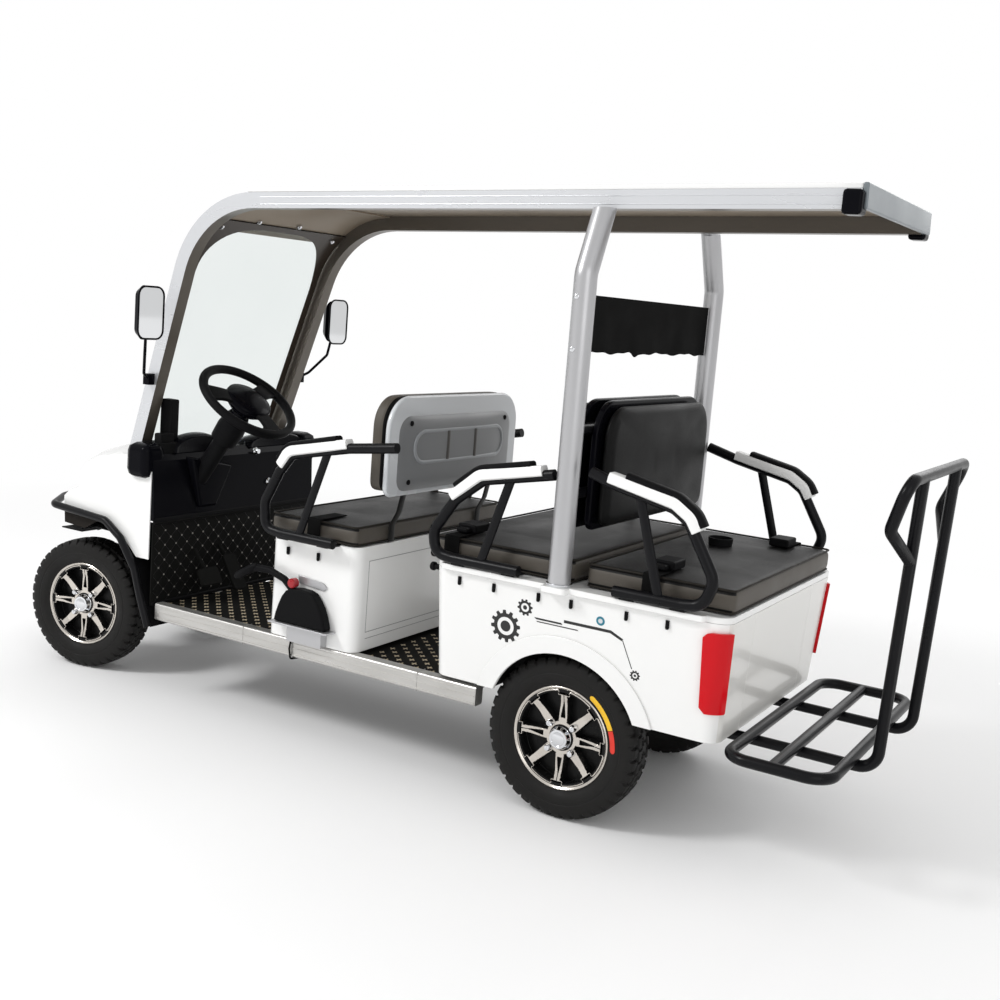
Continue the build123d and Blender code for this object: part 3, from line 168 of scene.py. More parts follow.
def finish(name, colour, other, rough, drift, grain=None, stretch=(1, 1, 1), **sockets):
    """Colour = one to the other by a slow noise; roughness = its two ends by the same noise; bump =
    a fine grain of (kind, scale, height in metres)."""
    material = bpy.data.materials.new(name)
    material.use_nodes = True
    nodes, links = material.node_tree.nodes, material.node_tree.links
    shader = nodes["Principled BSDF"]
    place = nodes.new("ShaderNodeTexCoord")
    spread = nodes.new("ShaderNodeMapping")
    spread.inputs["Scale"].default_value = stretch
    links.new(place.outputs["Object"], spread.inputs["Vector"])
    cloud = nodes.new("ShaderNodeTexNoise")
    cloud.inputs["Scale"].default_value = drift
    cloud.inputs["Detail"].default_value = 5
    links.new(spread.outputs[0], cloud.inputs["Vector"])
    blend = nodes.new("ShaderNodeMix")
    blend.data_type = "RGBA"
    blend.inputs["A"].default_value = (*colour, 1)
    blend.inputs["B"].default_value = (*other, 1)
    links.new(cloud.outputs["Fac"], blend.inputs["Factor"])
    links.new(blend.outputs["Result"], shader.inputs["Base Color"])
    shine = nodes.new("ShaderNodeMapRange")
    shine.inputs["From Min"].default_value = 0.3
    shine.inputs["From Max"].default_value = 0.7
    shine.inputs["To Min"].default_value = rough[0]
    shine.inputs["To Max"].default_value = rough[1]
    links.new(cloud.outputs["Fac"], shine.inputs["Value"])
    links.new(shine.outputs[0], shader.inputs["Roughness"])
    if grain:
        kind, scale, height = grain
        texture = nodes.new("ShaderNodeTexVoronoi" if kind == "cells" else "ShaderNodeTexNoise")
        texture.inputs["Scale"].default_value = scale
        links.new(spread.outputs[0], texture.inputs["Vector"])
        bump = nodes.new("ShaderNodeBump")
        bump.inputs["Distance"].default_value = height
        bump.inputs["Strength"].default_value = 0.6
        links.new(texture.outputs["Distance" if kind == "cells" else "Fac"], bump.inputs["Height"])
        links.new(bump.outputs[0], shader.inputs["Normal"])
    for socket, value in sockets.items():
        shader.inputs[socket.replace("_", " ")].default_value = value
    finishes[name] = material


# %% [markdown]
# The cart's body is white gloss plastic, its roof rails are silver extrusions and its tubes are black
# powder coat. Plastics and paints differ from metals only in a few of the shader's own sockets.

# %% Finishes of the body
coat = {"Coat_Weight": 0.5, "Coat_Roughness": 0.06}
dull = {"Specular_IOR_Level": 0.05}
finish("white_gloss", (0.84, 0.84, 0.83), (0.81, 0.81, 0.80), (0.24, 0.28), 2.5, **coat)
finish("black_tube", (0.003, 0.003, 0.004), (0.006, 0.006, 0.007), (0.26, 0.36), 9, ("noise", 420, 0.0002),
       Specular_IOR_Level=0.15)
finish("black_moulded", (0.004, 0.004, 0.005), (0.009, 0.009, 0.009), (0.44, 0.58), 7, ("noise", 500, 0.0004),
       **dull)
finish("black_gloss", (0.002, 0.002, 0.003), (0.004, 0.004, 0.006), (0.12, 0.22), 5, Specular_IOR_Level=0.05)
finish("rim_black", (0.004, 0.004, 0.004), (0.008, 0.008, 0.008), (0.22, 0.34), 9, Specular_IOR_Level=0.15)
finish("black_rubber", (0.005, 0.005, 0.005), (0.011, 0.011, 0.010), (0.66, 0.84), 12, ("noise", 350, 0.0006),
       **dull)
finish("rail_silver", (0.68, 0.69, 0.71), (0.64, 0.65, 0.67), (0.26, 0.30), 3, None, (6, 1, 6),
       Metallic=0.6)
finish("post_silver", (0.50, 0.50, 0.51), (0.44, 0.44, 0.45), (0.28, 0.38), 4, ("noise", 300, 0.0001),
       Metallic=0.7)
finish("sill_metal", (0.62, 0.61, 0.59), (0.46, 0.45, 0.43), (0.26, 0.42), 5, ("noise", 120, 0.0002),
       (8, 1, 8), Metallic=0.85)
print(len(finishes), "finishes so far")

# %% [markdown]
# The seats are a charcoal leatherette with a pebbled grain, on pale and grey moulded shells. The
# pebbles are the cells of a Voronoi texture in the bump.

# %% Finishes of the seats
finish("leatherette", (0.009, 0.009, 0.009), (0.015, 0.0145, 0.014), (0.36, 0.50), 6, ("cells", 420, 0.0008),
       Specular_IOR_Level=0.14)
# back_leather is the leatherette made darker: painted shade on the backrests, which face away from the light.
finish("back_leather", (0.003, 0.003, 0.003), (0.006, 0.006, 0.006), (0.34, 0.50), 6, ("cells", 420, 0.0006),
       Specular_IOR_Level=0.10)
# leather_side is the leatherette made paler and browner: painted light on the sideways faces of the cushions.
finish("leather_side", (0.064, 0.056, 0.046), (0.088, 0.077, 0.064), (0.42, 0.56), 7, ("cells", 420, 0.0008),
       Specular_IOR_Level=0.3)
finish("piping", (0.018, 0.016, 0.014), (0.030, 0.027, 0.023), (0.40, 0.55), 20, ("noise", 900, 0.0004),
       **dull)
finish("shell_light", (0.62, 0.64, 0.66), (0.56, 0.58, 0.60), (0.20, 0.30), 3, ("noise", 20, 0.0001), **coat)
finish("shell_grey", (0.22, 0.225, 0.23), (0.18, 0.185, 0.19), (0.34, 0.46), 4, ("noise", 300, 0.0003))
print(len(finishes), "finishes so far")

# %% [markdown]
# The rest is rubber, cast and polished metal, lamps, glass, trim and stickers. The screen is clear, with
# an index near 1, so it hardly bends what is seen through it.

# %% Finishes of the wheels and the small parts
finish("tyre_rubber", (0.005, 0.005, 0.005), (0.012, 0.011, 0.010), (0.45, 0.70), 14, ("noise", 260, 0.0006),
       Specular_IOR_Level=0.2)
finish("machined", (0.66, 0.62, 0.57), (0.58, 0.54, 0.49), (0.18, 0.28), 8, ("noise", 700, 0.0001),
       Metallic=1.0)
finish("chrome", (0.75, 0.76, 0.78), (0.66, 0.67, 0.69), (0.05, 0.10), 8, Metallic=1.0)
finish("bare_steel", (0.36, 0.35, 0.34), (0.26, 0.25, 0.24), (0.34, 0.5), 18, ("noise", 300, 0.0004),
       Metallic=0.9)
finish("under_black", (0.008, 0.008, 0.008), (0.024, 0.020, 0.017), (0.5, 0.75), 8, ("noise", 160, 0.0008),
       **dull)
finish("motor_paint", (0.030, 0.032, 0.036), (0.045, 0.045, 0.046), (0.4, 0.55), 9, ("noise", 260, 0.0006))
finish("battery", (0.07, 0.07, 0.075), (0.05, 0.05, 0.055), (0.45, 0.6), 7, ("noise", 300, 0.0006))
finish("lens_red", (0.62, 0.004, 0.010), (0.50, 0.003, 0.007), (0.12, 0.20), 6, Specular_IOR_Level=0.2)
finish("lens_clear", (0.80, 0.82, 0.84), (0.72, 0.74, 0.77), (0.06, 0.12), 6, Coat_Weight=0.9,
       Coat_Roughness=0.03)
finish("curtain_cloth", (0.004, 0.004, 0.004), (0.008, 0.008, 0.008), (0.75, 0.9), 12,
       ("noise", 1400, 0.0006), **dull)
finish("roof_under", (0.27, 0.22, 0.165), (0.34, 0.28, 0.215), (0.28, 0.38), 2.5, ("noise", 20, 0.0002),
       Specular_IOR_Level=0.25)
finish("screen_edge", (0.034, 0.025, 0.019), (0.048, 0.036, 0.027), (0.16, 0.26), 4, Specular_IOR_Level=0.3)
# rail_inside is the rails' silver darkened to a dull brown: painted shade on their inner faces.
finish("rail_inside", (0.135, 0.118, 0.098), (0.105, 0.092, 0.076), (0.28, 0.38), 3, None, (6, 1, 6),
       Metallic=0.4)
# fascia_grey is a dark blue-grey: painted shade on the roof's rear end, which looks away from the key lamp.
finish("fascia_grey", (0.20, 0.225, 0.24), (0.15, 0.17, 0.185), (0.28, 0.38), 4, None, (1, 1, 1),
       Metallic=0.3)
# tail_white is the body's white made darker and warmer: painted shade on the faces that look back, away from
# the key lamp.
finish("tail_white", (0.74, 0.73, 0.70), (0.70, 0.69, 0.66), (0.22, 0.28), 2.5, **coat)
# moulding_grey is the panel's grey made paler and bluer: a painted highlight on the oval moulding.
finish("moulding_grey", (0.34, 0.355, 0.37), (0.28, 0.29, 0.305), (0.28, 0.38), 6)
# slot_grey is a dark brown-grey: painted shade of the seat back's recessed slots.
finish("slot_grey", (0.10, 0.092, 0.085), (0.075, 0.070, 0.066), (0.4, 0.5), 8)
finish("mirror_glass", (0.80, 0.81, 0.82), (0.74, 0.75, 0.76), (0.02, 0.05), 3, Metallic=1.0)
finish("label_yellow", (0.86, 0.52, 0.01), (0.78, 0.45, 0.01), (0.3, 0.4), 30)
finish("label_red", (0.72, 0.03, 0.01), (0.62, 0.02, 0.01), (0.3, 0.4), 30)
finish("decal_black", (0.006, 0.006, 0.006), (0.010, 0.010, 0.010), (0.22, 0.32), 20)
finish("decal_teal", (0.01, 0.19, 0.27), (0.01, 0.15, 0.22), (0.25, 0.35), 30)
finish("knob_red", (0.36, 0.006, 0.012), (0.26, 0.004, 0.010), (0.25, 0.4), 25)
finish("stitch_beige", (0.66, 0.56, 0.40), (0.52, 0.43, 0.29), (0.6, 0.8), 60)
finish("quilt_line", (0.018, 0.018, 0.018), (0.013, 0.013, 0.013), (0.5, 0.6), 40)
finish("stud_silver", (0.30, 0.29, 0.27), (0.24, 0.23, 0.21), (0.35, 0.5), 40, Metallic=0.6)
finish("clear_screen", (0.86, 0.89, 0.88), (0.80, 0.84, 0.83), (0.05, 0.10), 3, Transmission_Weight=1.0,
       IOR=1.15)
print(len(finishes), "finishes")

# %% [markdown]
# ## Dressed frame pieces
# A node of the frame is loose triangles. A copy of it gets its doubles merged and its flat faces
# joined, and then a Bevel modifier rounds its real edges a little, as every moulded or bent edge is.

# %% Dress a node of the frame
body_of = {node: piece["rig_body"] for node, piece in frame["nodes"].items()}
slot_of = {row["node"]: row["material_slot"] for row in frame["record"]["subparts"]}
merge_gap = 2e-5
flat_angle = radians(0.4)
smooth_angle = radians(32)


def settle(piece, material, body, slot=None, *nodes):
    """Links a finished piece, gives it its finish and body, and says which nodes it stands for."""
    if piece.name not in scene.collection.objects:
        scene.collection.objects.link(piece)
    piece.data.materials.clear()
    for each in material if isinstance(material, list) else [material]:
        piece.data.materials.append(finishes[each])
    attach(piece, body)
    if nodes:
        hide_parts(*nodes)
    return piece


def dressed(node, material, bevel):
    """A clean copy of a node with its real edges rounded; it stands for that node."""
    form = bmesh.new()
    form.from_mesh(frame["nodes"][node].data)
    bmesh.ops.remove_doubles(form, verts=form.verts, dist=merge_gap)
    bmesh.ops.dissolve_limit(form, angle_limit=flat_angle, verts=form.verts, edges=form.edges)
    mesh = bpy.data.meshes.new(f"{node}_skin")
    form.to_mesh(mesh)
    form.free()
    mesh.shade_smooth()
    mesh.set_sharp_from_angle(angle=smooth_angle)
    piece = settle(bpy.data.objects.new(f"{node}_skin", mesh), material, body_of[node], slot_of[node], node)
    if bevel:
        rounding = piece.modifiers.new("rounded", "BEVEL")
        rounding.width = bevel
        rounding.segments = 2
        rounding.limit_method = "ANGLE"
        rounding.angle_limit = smooth_angle
        rounding.harden_normals = True
        rounding.use_clamp_overlap = True
    return piece


# %% [markdown]
# Most nodes need no more than a finish and slightly rounded edges, so one table dresses them all.
# Tubes are round already and get no bevel.

# %% Dress the plain nodes
dress = {}
# columns: node, finish, width of its rounded edges
for node, material, bevel in [
    ("arch_flares", "white_gloss", 0.002), ("arch_liners", "black_moulded", 0),
    ("backrest_frame", "black_tube", 0),
    ("battery_pack", "battery", 0.003), ("chassis_frame", "under_black", 0),
    ("dashboard", "black_gloss", 0.002),
    ("drive_motor", "motor_paint", 0.004), ("floor_pan", "black_rubber", 0.002),
    ("front_axle", "under_black", 0),
    ("front_backrest_shell", "shell_light", 0.008),
    ("front_bumper", "black_tube", 0), ("front_cowl", "white_gloss", 0.002),
    ("front_seat_box", "white_gloss", 0.003),
    ("headlamps", "lens_clear", 0.002), ("kick_board", "black_rubber", 0.001),
    ("knuckle_left", "bare_steel", 0), ("knuckle_right", "bare_steel", 0), ("mirrors", "black_gloss", 0.002),
    ("pedals", "black_rubber", 0.002), ("rear_axle", "under_black", 0), ("rear_posts", "post_silver", 0),
    ("rear_rack", "black_tube", 0), ("rear_seat_deck", "white_gloss", 0.003),
    ("rear_seat_front", "white_gloss", 0.001),
    ("rear_side_panels", "white_gloss", 0.001), ("roof_header", "white_gloss", 0.001),
    ("roof_panel", "white_gloss", 0.003), ("roof_rails", "rail_silver", 0),
    # The roof's rear end takes a dark blue-grey: painted shade.
    ("roof_tail_bar", "fascia_grey", 0.004),
    ("side_sills", "sill_metal", 0.001), ("steering_column", "black_moulded", 0.002),
    ("steering_link", "bare_steel", 0), ("tail_lamps", "lens_red", 0.002),
    # The tail panel's darker white is painted shade.
    ("tail_panel", "tail_white", 0.001),
    ("middle_backrest_shell", "black_gloss", 0.005), ("rear_backrest_shell", "black_gloss", 0.005),
]:
    dress[node] = dressed(node, material, bevel)
dressed("windshield", "clear_screen", 0)
print(len(dress) + 1, "nodes dressed")

# %% [markdown]
# The rack is welded from stout tube. Its skin is pushed out along its normals, which thickens every
# tube evenly and leaves the bends where they are.

# %% Stouter rack tubes
coat_of_paint = dress["rear_rack"].modifiers.new("wall", "DISPLACE")
coat_of_paint.strength = 0.0022
coat_of_paint.mid_level = 0
print(f"rack tubes: {coat_of_paint.strength * 1000:.1f} mm stouter")

# %% [markdown]
# ## Two finishes on one piece
# The rails are bright outside, and their inner faces are a dull brown, which is painted shade: those
# faces look away from the lamps. The header behind the screen's head is white above and brown below.
# Faces are told apart by which way they look: a face whose normal points to the middle of the cabin
# is an inner one. That needs no cut in the mesh.

# %% Inner faces of the rails
cabin_y, cabin_z = 0.15, 0.95


def look_of(polygons):
    """Normals of the faces, and the cosine between each and the way to the line across the cabin's middle."""
    normals = np.array([p.normal for p in polygons])
    towards = np.array([(0, cabin_y - p.center.y, cabin_z - p.center.z) for p in polygons])
    towards /= np.linalg.norm(towards, axis=1)[:, None]
    return normals, (normals * towards).sum(1)


rails = dress["roof_rails"].data
rails.materials.append(finishes["rail_inside"])
normals, inwards = look_of(rails.polygons)
sideways_in = normals[:, 0] * np.sign([p.center.x for p in rails.polygons]) < -0.5
facing_in = (inwards > 0.6) | sideways_in
rails.polygons.foreach_set("use_smooth", np.abs(normals[:, 0]) < 0.95)
# Inner faces take the dull brown finish: painted shade.
rails.polygons.foreach_set("material_index", facing_in.astype(np.int32))
print(int(facing_in.sum()), "faces of the rails look inwards")
header = dress["roof_header"].data
header.materials.append(finishes["roof_under"])
header_in = look_of(header.polygons)[1] > -0.2
header.polygons.foreach_set("material_index", header_in.astype(np.int32))
print(int(header_in.sum()), "faces of the header look inwards")

# %% [markdown]
# The rear faces of the side panels are the ends of the tail, and share its darker, warmer white,
# which is painted shade: the tail looks away from the key lamp.

# %% Rear faces of the side panels
tail_faces = dress["rear_side_panels"].data
tail_faces.materials.append(finishes["tail_white"])
facing_back = np.array([p.normal.y > 0.85 for p in tail_faces.polygons], np.int32)
tail_faces.polygons.foreach_set("material_index", facing_back)
print(int(facing_back.sum()), "faces look back")

# %% [markdown]
# ## Mirror shells
# A mirror's shell is widest at the glass and draws in towards its back, like a shallow cup.

# %% Mirror shells
mirror_x, mirror_z = 0.4689, 1.263
shell_front, shell_depth = -0.8475, 0.0485
cup = dress["mirrors"].data
for side in (1, -1):
    shell_points = [v for v in cup.vertices if v.co.x * side > 0.41 and v.co.z > 1.1754]
    for v in shell_points:
        back = min(1.0, max(0.0, (shell_front - v.co.y) / shell_depth))
        v.co.x += (side * mirror_x - v.co.x) * 0.50 * back
        v.co.z += (mirror_z - v.co.z) * 0.34 * back
    print(len(shell_points), "points of a mirror shell")
cup.update()

# %% [markdown]
# ## Under the nose
# Below the bumper's top tube the cowl is not painted: it is the dark inner moulding of the nose.
# The cowl is cut along that line, and what lies under it gets another finish.

# %% Dark part of the cowl
nose = dress["front_cowl"].data
form = bmesh.new()
form.from_mesh(nose)
line_point, line_normal = Vector((0, -1.075, 0.554)), Vector((0, 0.072, 1)).normalized()
dark_rear = -1.060
for spot, normal in ((line_point, line_normal), (Vector((0, dark_rear, 0)), Vector((0, 1, 0)))):
    everything = form.verts[:] + form.edges[:] + form.faces[:]
    bmesh.ops.bisect_plane(form, geom=everything, dist=1e-6, plane_co=spot, plane_no=normal)
for face in form.faces:
    middle_of = face.calc_center_median()
    face.material_index = int((middle_of - line_point).dot(line_normal) < 0 and middle_of.y < dark_rear)
print(sum(face.material_index for face in form.faces), "faces of the nose are dark")
form.to_mesh(nose)
form.free()
nose.materials.append(finishes["under_black"])
nose.shade_smooth()
nose.set_sharp_from_angle(angle=smooth_angle)

# %% [markdown]
# ## Shapes worked out as arrays
# A new piece starts as a grid of points: a round section carried along a path, or a profile turned
# about an axis. A form is a pair, its points and its faces, and forms are joined into one piece.

# %% Faces of a grid
def grid_faces(rows, columns, wrap_rows=False, wrap_columns=False):
    """Quads between neighbours of a rows x columns grid, closing either way round if asked."""
    i, j = np.meshgrid(np.arange(rows if wrap_rows else rows - 1),
                       np.arange(columns if wrap_columns else columns - 1), indexing="ij")
    i2, j2 = (i + 1) % rows, (j + 1) % columns
    corners = [i * columns + j, i2 * columns + j, i2 * columns + j2, i * columns + j2]
    return np.stack([c.ravel() for c in corners], 1).tolist()


def joined(forms):
    """One form from several: their points stacked and their faces counted on."""
    points, faces, start = [], [], 0
    for p, f in forms:
        p = np.asarray(p, float).reshape(-1, 3)
        points.append(p)
        faces += [[start + k for k in face] for face in f]
        start += len(p)
    return np.concatenate(points), faces


print("a 3 x 4 grid:", len(grid_faces(3, 4)), "quads, closed both ways", len(grid_faces(3, 4, True, True)))

# %% [markdown]
# Points and faces become a mesh in one call, from_pydata. Doubles are merged first and the faces are
# turned outwards after that. A sheet that is laid on a panel is left as it is, because it has only
# one side.

# %% A piece from forms
def piece_of(name, forms, material, body="root", slot=None, nodes=(), bevel=0, smooth=35, clean=True):
    """A finished piece from forms, with its faces turned outwards and its edges rounded."""
    points, faces = joined(forms)
    mesh = bpy.data.meshes.new(name)
    mesh.from_pydata(points.tolist(), [], faces)
    if clean:
        form = bmesh.new()
        form.from_mesh(mesh)
        bmesh.ops.remove_doubles(form, verts=form.verts, dist=1e-6)
        bmesh.ops.recalc_face_normals(form, faces=form.faces)
        form.to_mesh(mesh)
        form.free()
    mesh.shade_smooth()
    mesh.set_sharp_from_angle(angle=radians(smooth))
    piece = settle(bpy.data.objects.new(name, mesh), material, body, slot, *nodes)
    if bevel:
        rounding = piece.modifiers.new("rounded", "BEVEL")
        rounding.width = bevel
        rounding.segments = 2
        rounding.limit_method = "ANGLE"
        rounding.angle_limit = radians(smooth)
        rounding.harden_normals = True
    print(f"{name}: {len(mesh.polygons)} faces")
    return piece


# %% [markdown]
# A tube, a strap or a strip is a flat profile carried along a path. At each point of the path the
# profile stands in two directions across it. The first one is carried on from point to point and
# made square again, so the profile doesn't twist in the bends.

# %% A profile carried along a path
def frames_along(path, closed=False):
    """Directions of a path at its points, and two unit vectors across it that turn as little as possible."""
    path = np.asarray(path, float)
    if closed:
        ahead_of = np.roll(path, -1, 0) - np.roll(path, 1, 0)
    else:
        ahead_of = np.gradient(path, axis=0)
    along = ahead_of / np.linalg.norm(ahead_of, axis=1)[:, None]
    side = np.cross(along[0], (0, 0, 1) if abs(along[0][2]) < 0.9 else (0, 1, 0))
    sides = []
    for direction in along:
        side = side - direction * side.dot(direction)
        side = side / np.linalg.norm(side)
        sides.append(side)
    sides = np.array(sides)
    return along, sides, np.cross(along, sides)


def carried(profile, path, closed=False, frames=None, scale=None):
    """A closed profile (columns: sideways, up) carried along a path, with its ends closed."""
    profile, path = np.asarray(profile, float), np.asarray(path, float)
    _, side, over = frames or frames_along(path, closed)
    size = np.ones(len(path)) if scale is None else np.asarray(scale, float)
    rings = (
        path[:, None]
        + side[:, None] * (profile[None, :, :1] * size[:, None, None])
        + over[:, None] * (profile[None, :, 1:] * size[:, None, None])
    )
    n, m = len(path), len(profile)
    faces = grid_faces(n, m, closed, True)
    if not closed:
        faces += [list(range(m))[::-1], list(range((n - 1) * m, n * m))]
    return rings.reshape(-1, 3), faces


def ring(radius, sides=14, flat=1.0):
    """A round profile; flat squashes its height."""
    turn = np.arange(sides) * 2 * pi / sides
    return np.stack([radius * np.cos(turn), radius * flat * np.sin(turn)], 1)


def tube(path, radius, sides=14):
    """A round tube along a path."""
    return carried(ring(radius, sides), path)


print("a straight tube of 14 sides has", len(tube([(0, 0, 0), (0, 0, 1)], 0.01)[1]), "faces")

# %% [markdown]
# A bender gives every corner of a tube the same round. So a path is written as its few corners, and
# each corner is turned into an arc that touches both of its neighbours' lines.

# %% A bent path
def bent(points, radius, steps=6):
    """A path through corner points with each corner turned into an arc of a radius."""
    points = [np.asarray(p, float) for p in points]
    path = [points[0]]
    for before, corner, after in zip(points, points[1:], points[2:]):
        to_before = (before - corner) / np.linalg.norm(before - corner)
        to_after = (after - corner) / np.linalg.norm(after - corner)
        half = np.arccos(np.clip(to_before.dot(to_after), -1, 1)) / 2
        reach = min(radius / max(tan(half), 1e-3), np.linalg.norm(before - corner) / 2.05,
                    np.linalg.norm(after - corner) / 2.05)
        arc = reach * tan(half)
        bisector = (to_before + to_after) / max(np.linalg.norm(to_before + to_after), 1e-9)
        centre = corner + bisector * arc / sin(half)
        start, end = corner + to_before * reach - centre, corner + to_after * reach - centre
        share = np.linspace(0, 1, steps)[:, None]
        swing = start * (1 - share) + end * share
        path += list(centre + swing / np.linalg.norm(swing, axis=1)[:, None] * arc)
    path.append(points[-1])
    return np.array(path)


print("a path with one bend has", len(bent([(0, 0, 0), (1, 0, 0), (1, 1, 0)], 0.1)), "points")

# %% [markdown]
# Nuts, knobs, hubs and barrels are turned on a lathe: a profile of heights and radii goes round an
# axis. The axis can point anywhere, so its two cross directions are worked out first.

# %% A turned form
def across_frame(axis):
    """Two unit vectors that complete an axis: the first one level where it can be."""
    axis = np.asarray(axis, float) / np.linalg.norm(axis)
    level = np.cross((0, 0, 1), axis) if abs(axis[2]) < 0.95 else np.array((1.0, 0, 0))
    level = level / np.linalg.norm(level)
    return axis, level, np.cross(axis, level)


def turned(profile, centre, axis, sides=48):
    """A profile (columns: along the axis, radius) turned about an axis; a zero radius closes it."""
    profile = np.asarray(profile, float)
    axis, level, over = across_frame(axis)
    turn = np.arange(sides) * 2 * pi / sides
    spoke = np.cos(turn)[:, None] * level + np.sin(turn)[:, None] * over
    points = np.asarray(centre) + axis * profile[:, None, :1] + spoke[None] * profile[:, None, 1:]
    return points.reshape(-1, 3), grid_faces(len(profile), sides, False, True)


print("a turned cone has", len(turned([(0, 1), (1, 0)], (0, 0, 0), (0, 0, 1))[0]), "points")

# %% [markdown]
# What is cut from sheet or bar is a box, or an outline with a thickness. Its round corners are part
# of the outline; the small rounding of its edges is left to a Bevel modifier.

# %% Boxes and plates
def box_form(low, high):
    """The eight corners and six faces of a box."""
    low, high = np.minimum(low, high), np.maximum(low, high)
    points = np.array([[(low, high)[b >> k & 1][k] for k in range(3)] for b in range(8)])
    return points, [[0, 2, 3, 1], [4, 5, 7, 6], [0, 1, 5, 4], [2, 6, 7, 3], [0, 4, 6, 2], [1, 3, 7, 5]]


def plate(outline, origin, across, over, thickness):
    """A flat outline given a thickness along across x over, standing on its origin."""
    outline = np.asarray(outline, float)
    across, over = np.asarray(across, float), np.asarray(over, float)
    flat = np.asarray(origin) + outline[:, :1] * across + outline[:, 1:] * over
    normal = np.cross(across, over)
    count = len(outline)
    faces = [[k, (k + 1) % count, (k + 1) % count + count, k + count] for k in range(count)]
    return np.concatenate([flat, flat + normal * thickness]), faces + [
        list(range(count))[::-1], list(range(count, 2 * count))]


def rounded_outline(width, height, radius, steps=6):
    """A rectangle about the origin with round corners."""
    turn = np.linspace(0, pi / 2, steps)
    corners = []
    for k, (sx, sy) in enumerate([(1, 1), (-1, 1), (-1, -1), (1, -1)]):
        centre = np.array([sx * (width / 2 - radius), sy * (height / 2 - radius)])
        swing = turn + k * pi / 2
        corners.append(centre + radius * np.stack([np.cos(swing), np.sin(swing)], 1))
    return np.concatenate(corners)


print("a plate with round corners has", len(rounded_outline(1, 1, 0.1)), "points round it")

# %% [markdown]
# ## Tyres
# A tyre is a profile turned about the axle, but its tread isn't the same all the way round. So the
# radius becomes a function of two parameters, how far across and how far round: chunky blocks stand
# at the shoulders, and a zigzag of ribs runs down the middle.

# %% Wheel places
wheel_bodies = ["wheel_front_left", "wheel_front_right", "wheel_rear_left", "wheel_rear_right"]
wheel_places = {}
for joint in frame["joints"]:
    if joint["child"] in wheel_bodies:
        wheel_places[joint["child"]] = (np.array(joint["pos_m"]), np.array(joint["axis"]))
for name in wheel_bodies:
    centre, axis = wheel_places[name]
    if centre[0] < 0:
        axis = -axis * (1 if axis[0] > 0 else -1)
    wheel_places[name] = (centre, axis / np.linalg.norm(axis))
    print(name, "stands at", centre.round(3))

# %% [markdown]
# The tread is moulded into the rubber, so it is part of the surface and not a pattern on it. A table
# gives the tyre's section from bead to shoulder, mirrored for the other half. Its third column says
# how much of the tread's depth may be cut away at that point, so the side walls stay plain.

# %% Tyre surface
lugs = 40
round_steps = 12 * lugs
# columns: across, radius, share of the tread's depth that is cut away there
tyre_profile = np.array([
    (0.0400, 0.1290, 0), (0.0425, 0.1400, 0), (0.0440, 0.1470, 0), (0.0490, 0.1540, 0), (0.0535, 0.1630, 0),
    (0.0550, 0.1720, 0), (0.0552, 0.1790, 0), (0.0545, 0.1800, 0), (0.0545, 0.1840, 0), (0.0552, 0.1850, 0),
    (0.0550, 0.1930, 0), (0.0546, 0.2000, 0), (0.0541, 0.2040, 0.30), (0.0524, 0.2105, 0.45),
    (0.0490, 0.2180, 0.9),
    (0.0440, 0.2235, 1), (0.0380, 0.2250, 1), (0.0320, 0.2258, 1), (0.0270, 0.2262, 1), (0.0240, 0.2264, 1),
    (0.0200, 0.2266, 1), (0.0150, 0.2268, 1), (0.0110, 0.2269, 1), (0.0070, 0.2270, 1), (0.0030, 0.2270, 1),
])
tyre_profile = np.concatenate([tyre_profile, tyre_profile[::-1] * (-1, 1, 1)])
tread_depth = 0.0065


def tyre_form(centre, axis):
    """Radius = profile less the tread's depth wherever a groove runs: between shoulder blocks, along
    two zigzag channels, and across the middle ribs half a block later."""
    axis, level, over = across_frame(axis)
    turn = np.arange(round_steps) * 2 * pi / round_steps
    u, r, share = tyre_profile.T
    pitch = turn[None] * lugs / (2 * pi)
    side_shift = np.where(u > 0, 0.0, 0.5)[:, None]
    skew = np.abs(u)[:, None] * 8
    phase = (pitch + side_shift + skew) % 1
    zigzag = 0.0235 + 0.003 * np.abs((pitch * 2) % 2 - 1)
    in_channel = np.abs(np.abs(u)[:, None] - zigzag) < 0.0028
    in_gap = (phase < 0.26) & (np.abs(u)[:, None] > zigzag)
    in_sipe = ((phase + 0.5) % 1 < 0.16) & (np.abs(u)[:, None] < zigzag) & (np.abs(u)[:, None] > 0.005)
    in_middle = (np.abs(u)[:, None] < 0.004) & ((pitch + 0.25) % 1 < 0.5)
    cut = np.where(in_channel | in_gap, 1.0, np.where(in_sipe | in_middle, 0.6, 0.0)) * share[:, None]
    radius = r[:, None] - tread_depth * cut
    spoke = np.cos(turn)[:, None] * level + np.sin(turn)[:, None] * over
    points = centre + axis * u[:, None, None] + spoke[None] * radius[:, :, None]
    return points.reshape(-1, 3), grid_faces(len(u), round_steps, True, True)


for name in wheel_bodies:
    end = name.removeprefix("wheel_")
    piece_of(f"tyre_{end}_tread", [tyre_form(*wheel_places[name])], "tyre_rubber", name, "tyre_rubber",
             [f"tyre_{end}"], smooth=28)
print("tyres:", round_steps * len(tyre_profile), "faces each")

# %% [markdown]
# ## Rims
# The rims are cast, painted gloss black, and then faced on a lathe, so only what stands proud is
# bright: the outer lip, a thin notched ring, and eight tapering arms. Every other arm has a narrow
# black wedge in it, and the plain ones carry the wheel nuts. The face is a height over angle and
# radius, and whatever lies at full height gets the machined finish.

# %% Rim surface
arms = 8
arm_steps = 72
face_radii = np.concatenate([
    np.linspace(0.028, 0.050, 6), np.linspace(0.0515, 0.1140, 30), np.linspace(0.1150, 0.1365, 24)])


def step(value, soft):
    """0 below zero and 1 above it, with a smooth rise of a width."""
    share = np.clip(value / soft + 0.5, 0, 1)
    return share * share * (3 - 2 * share)


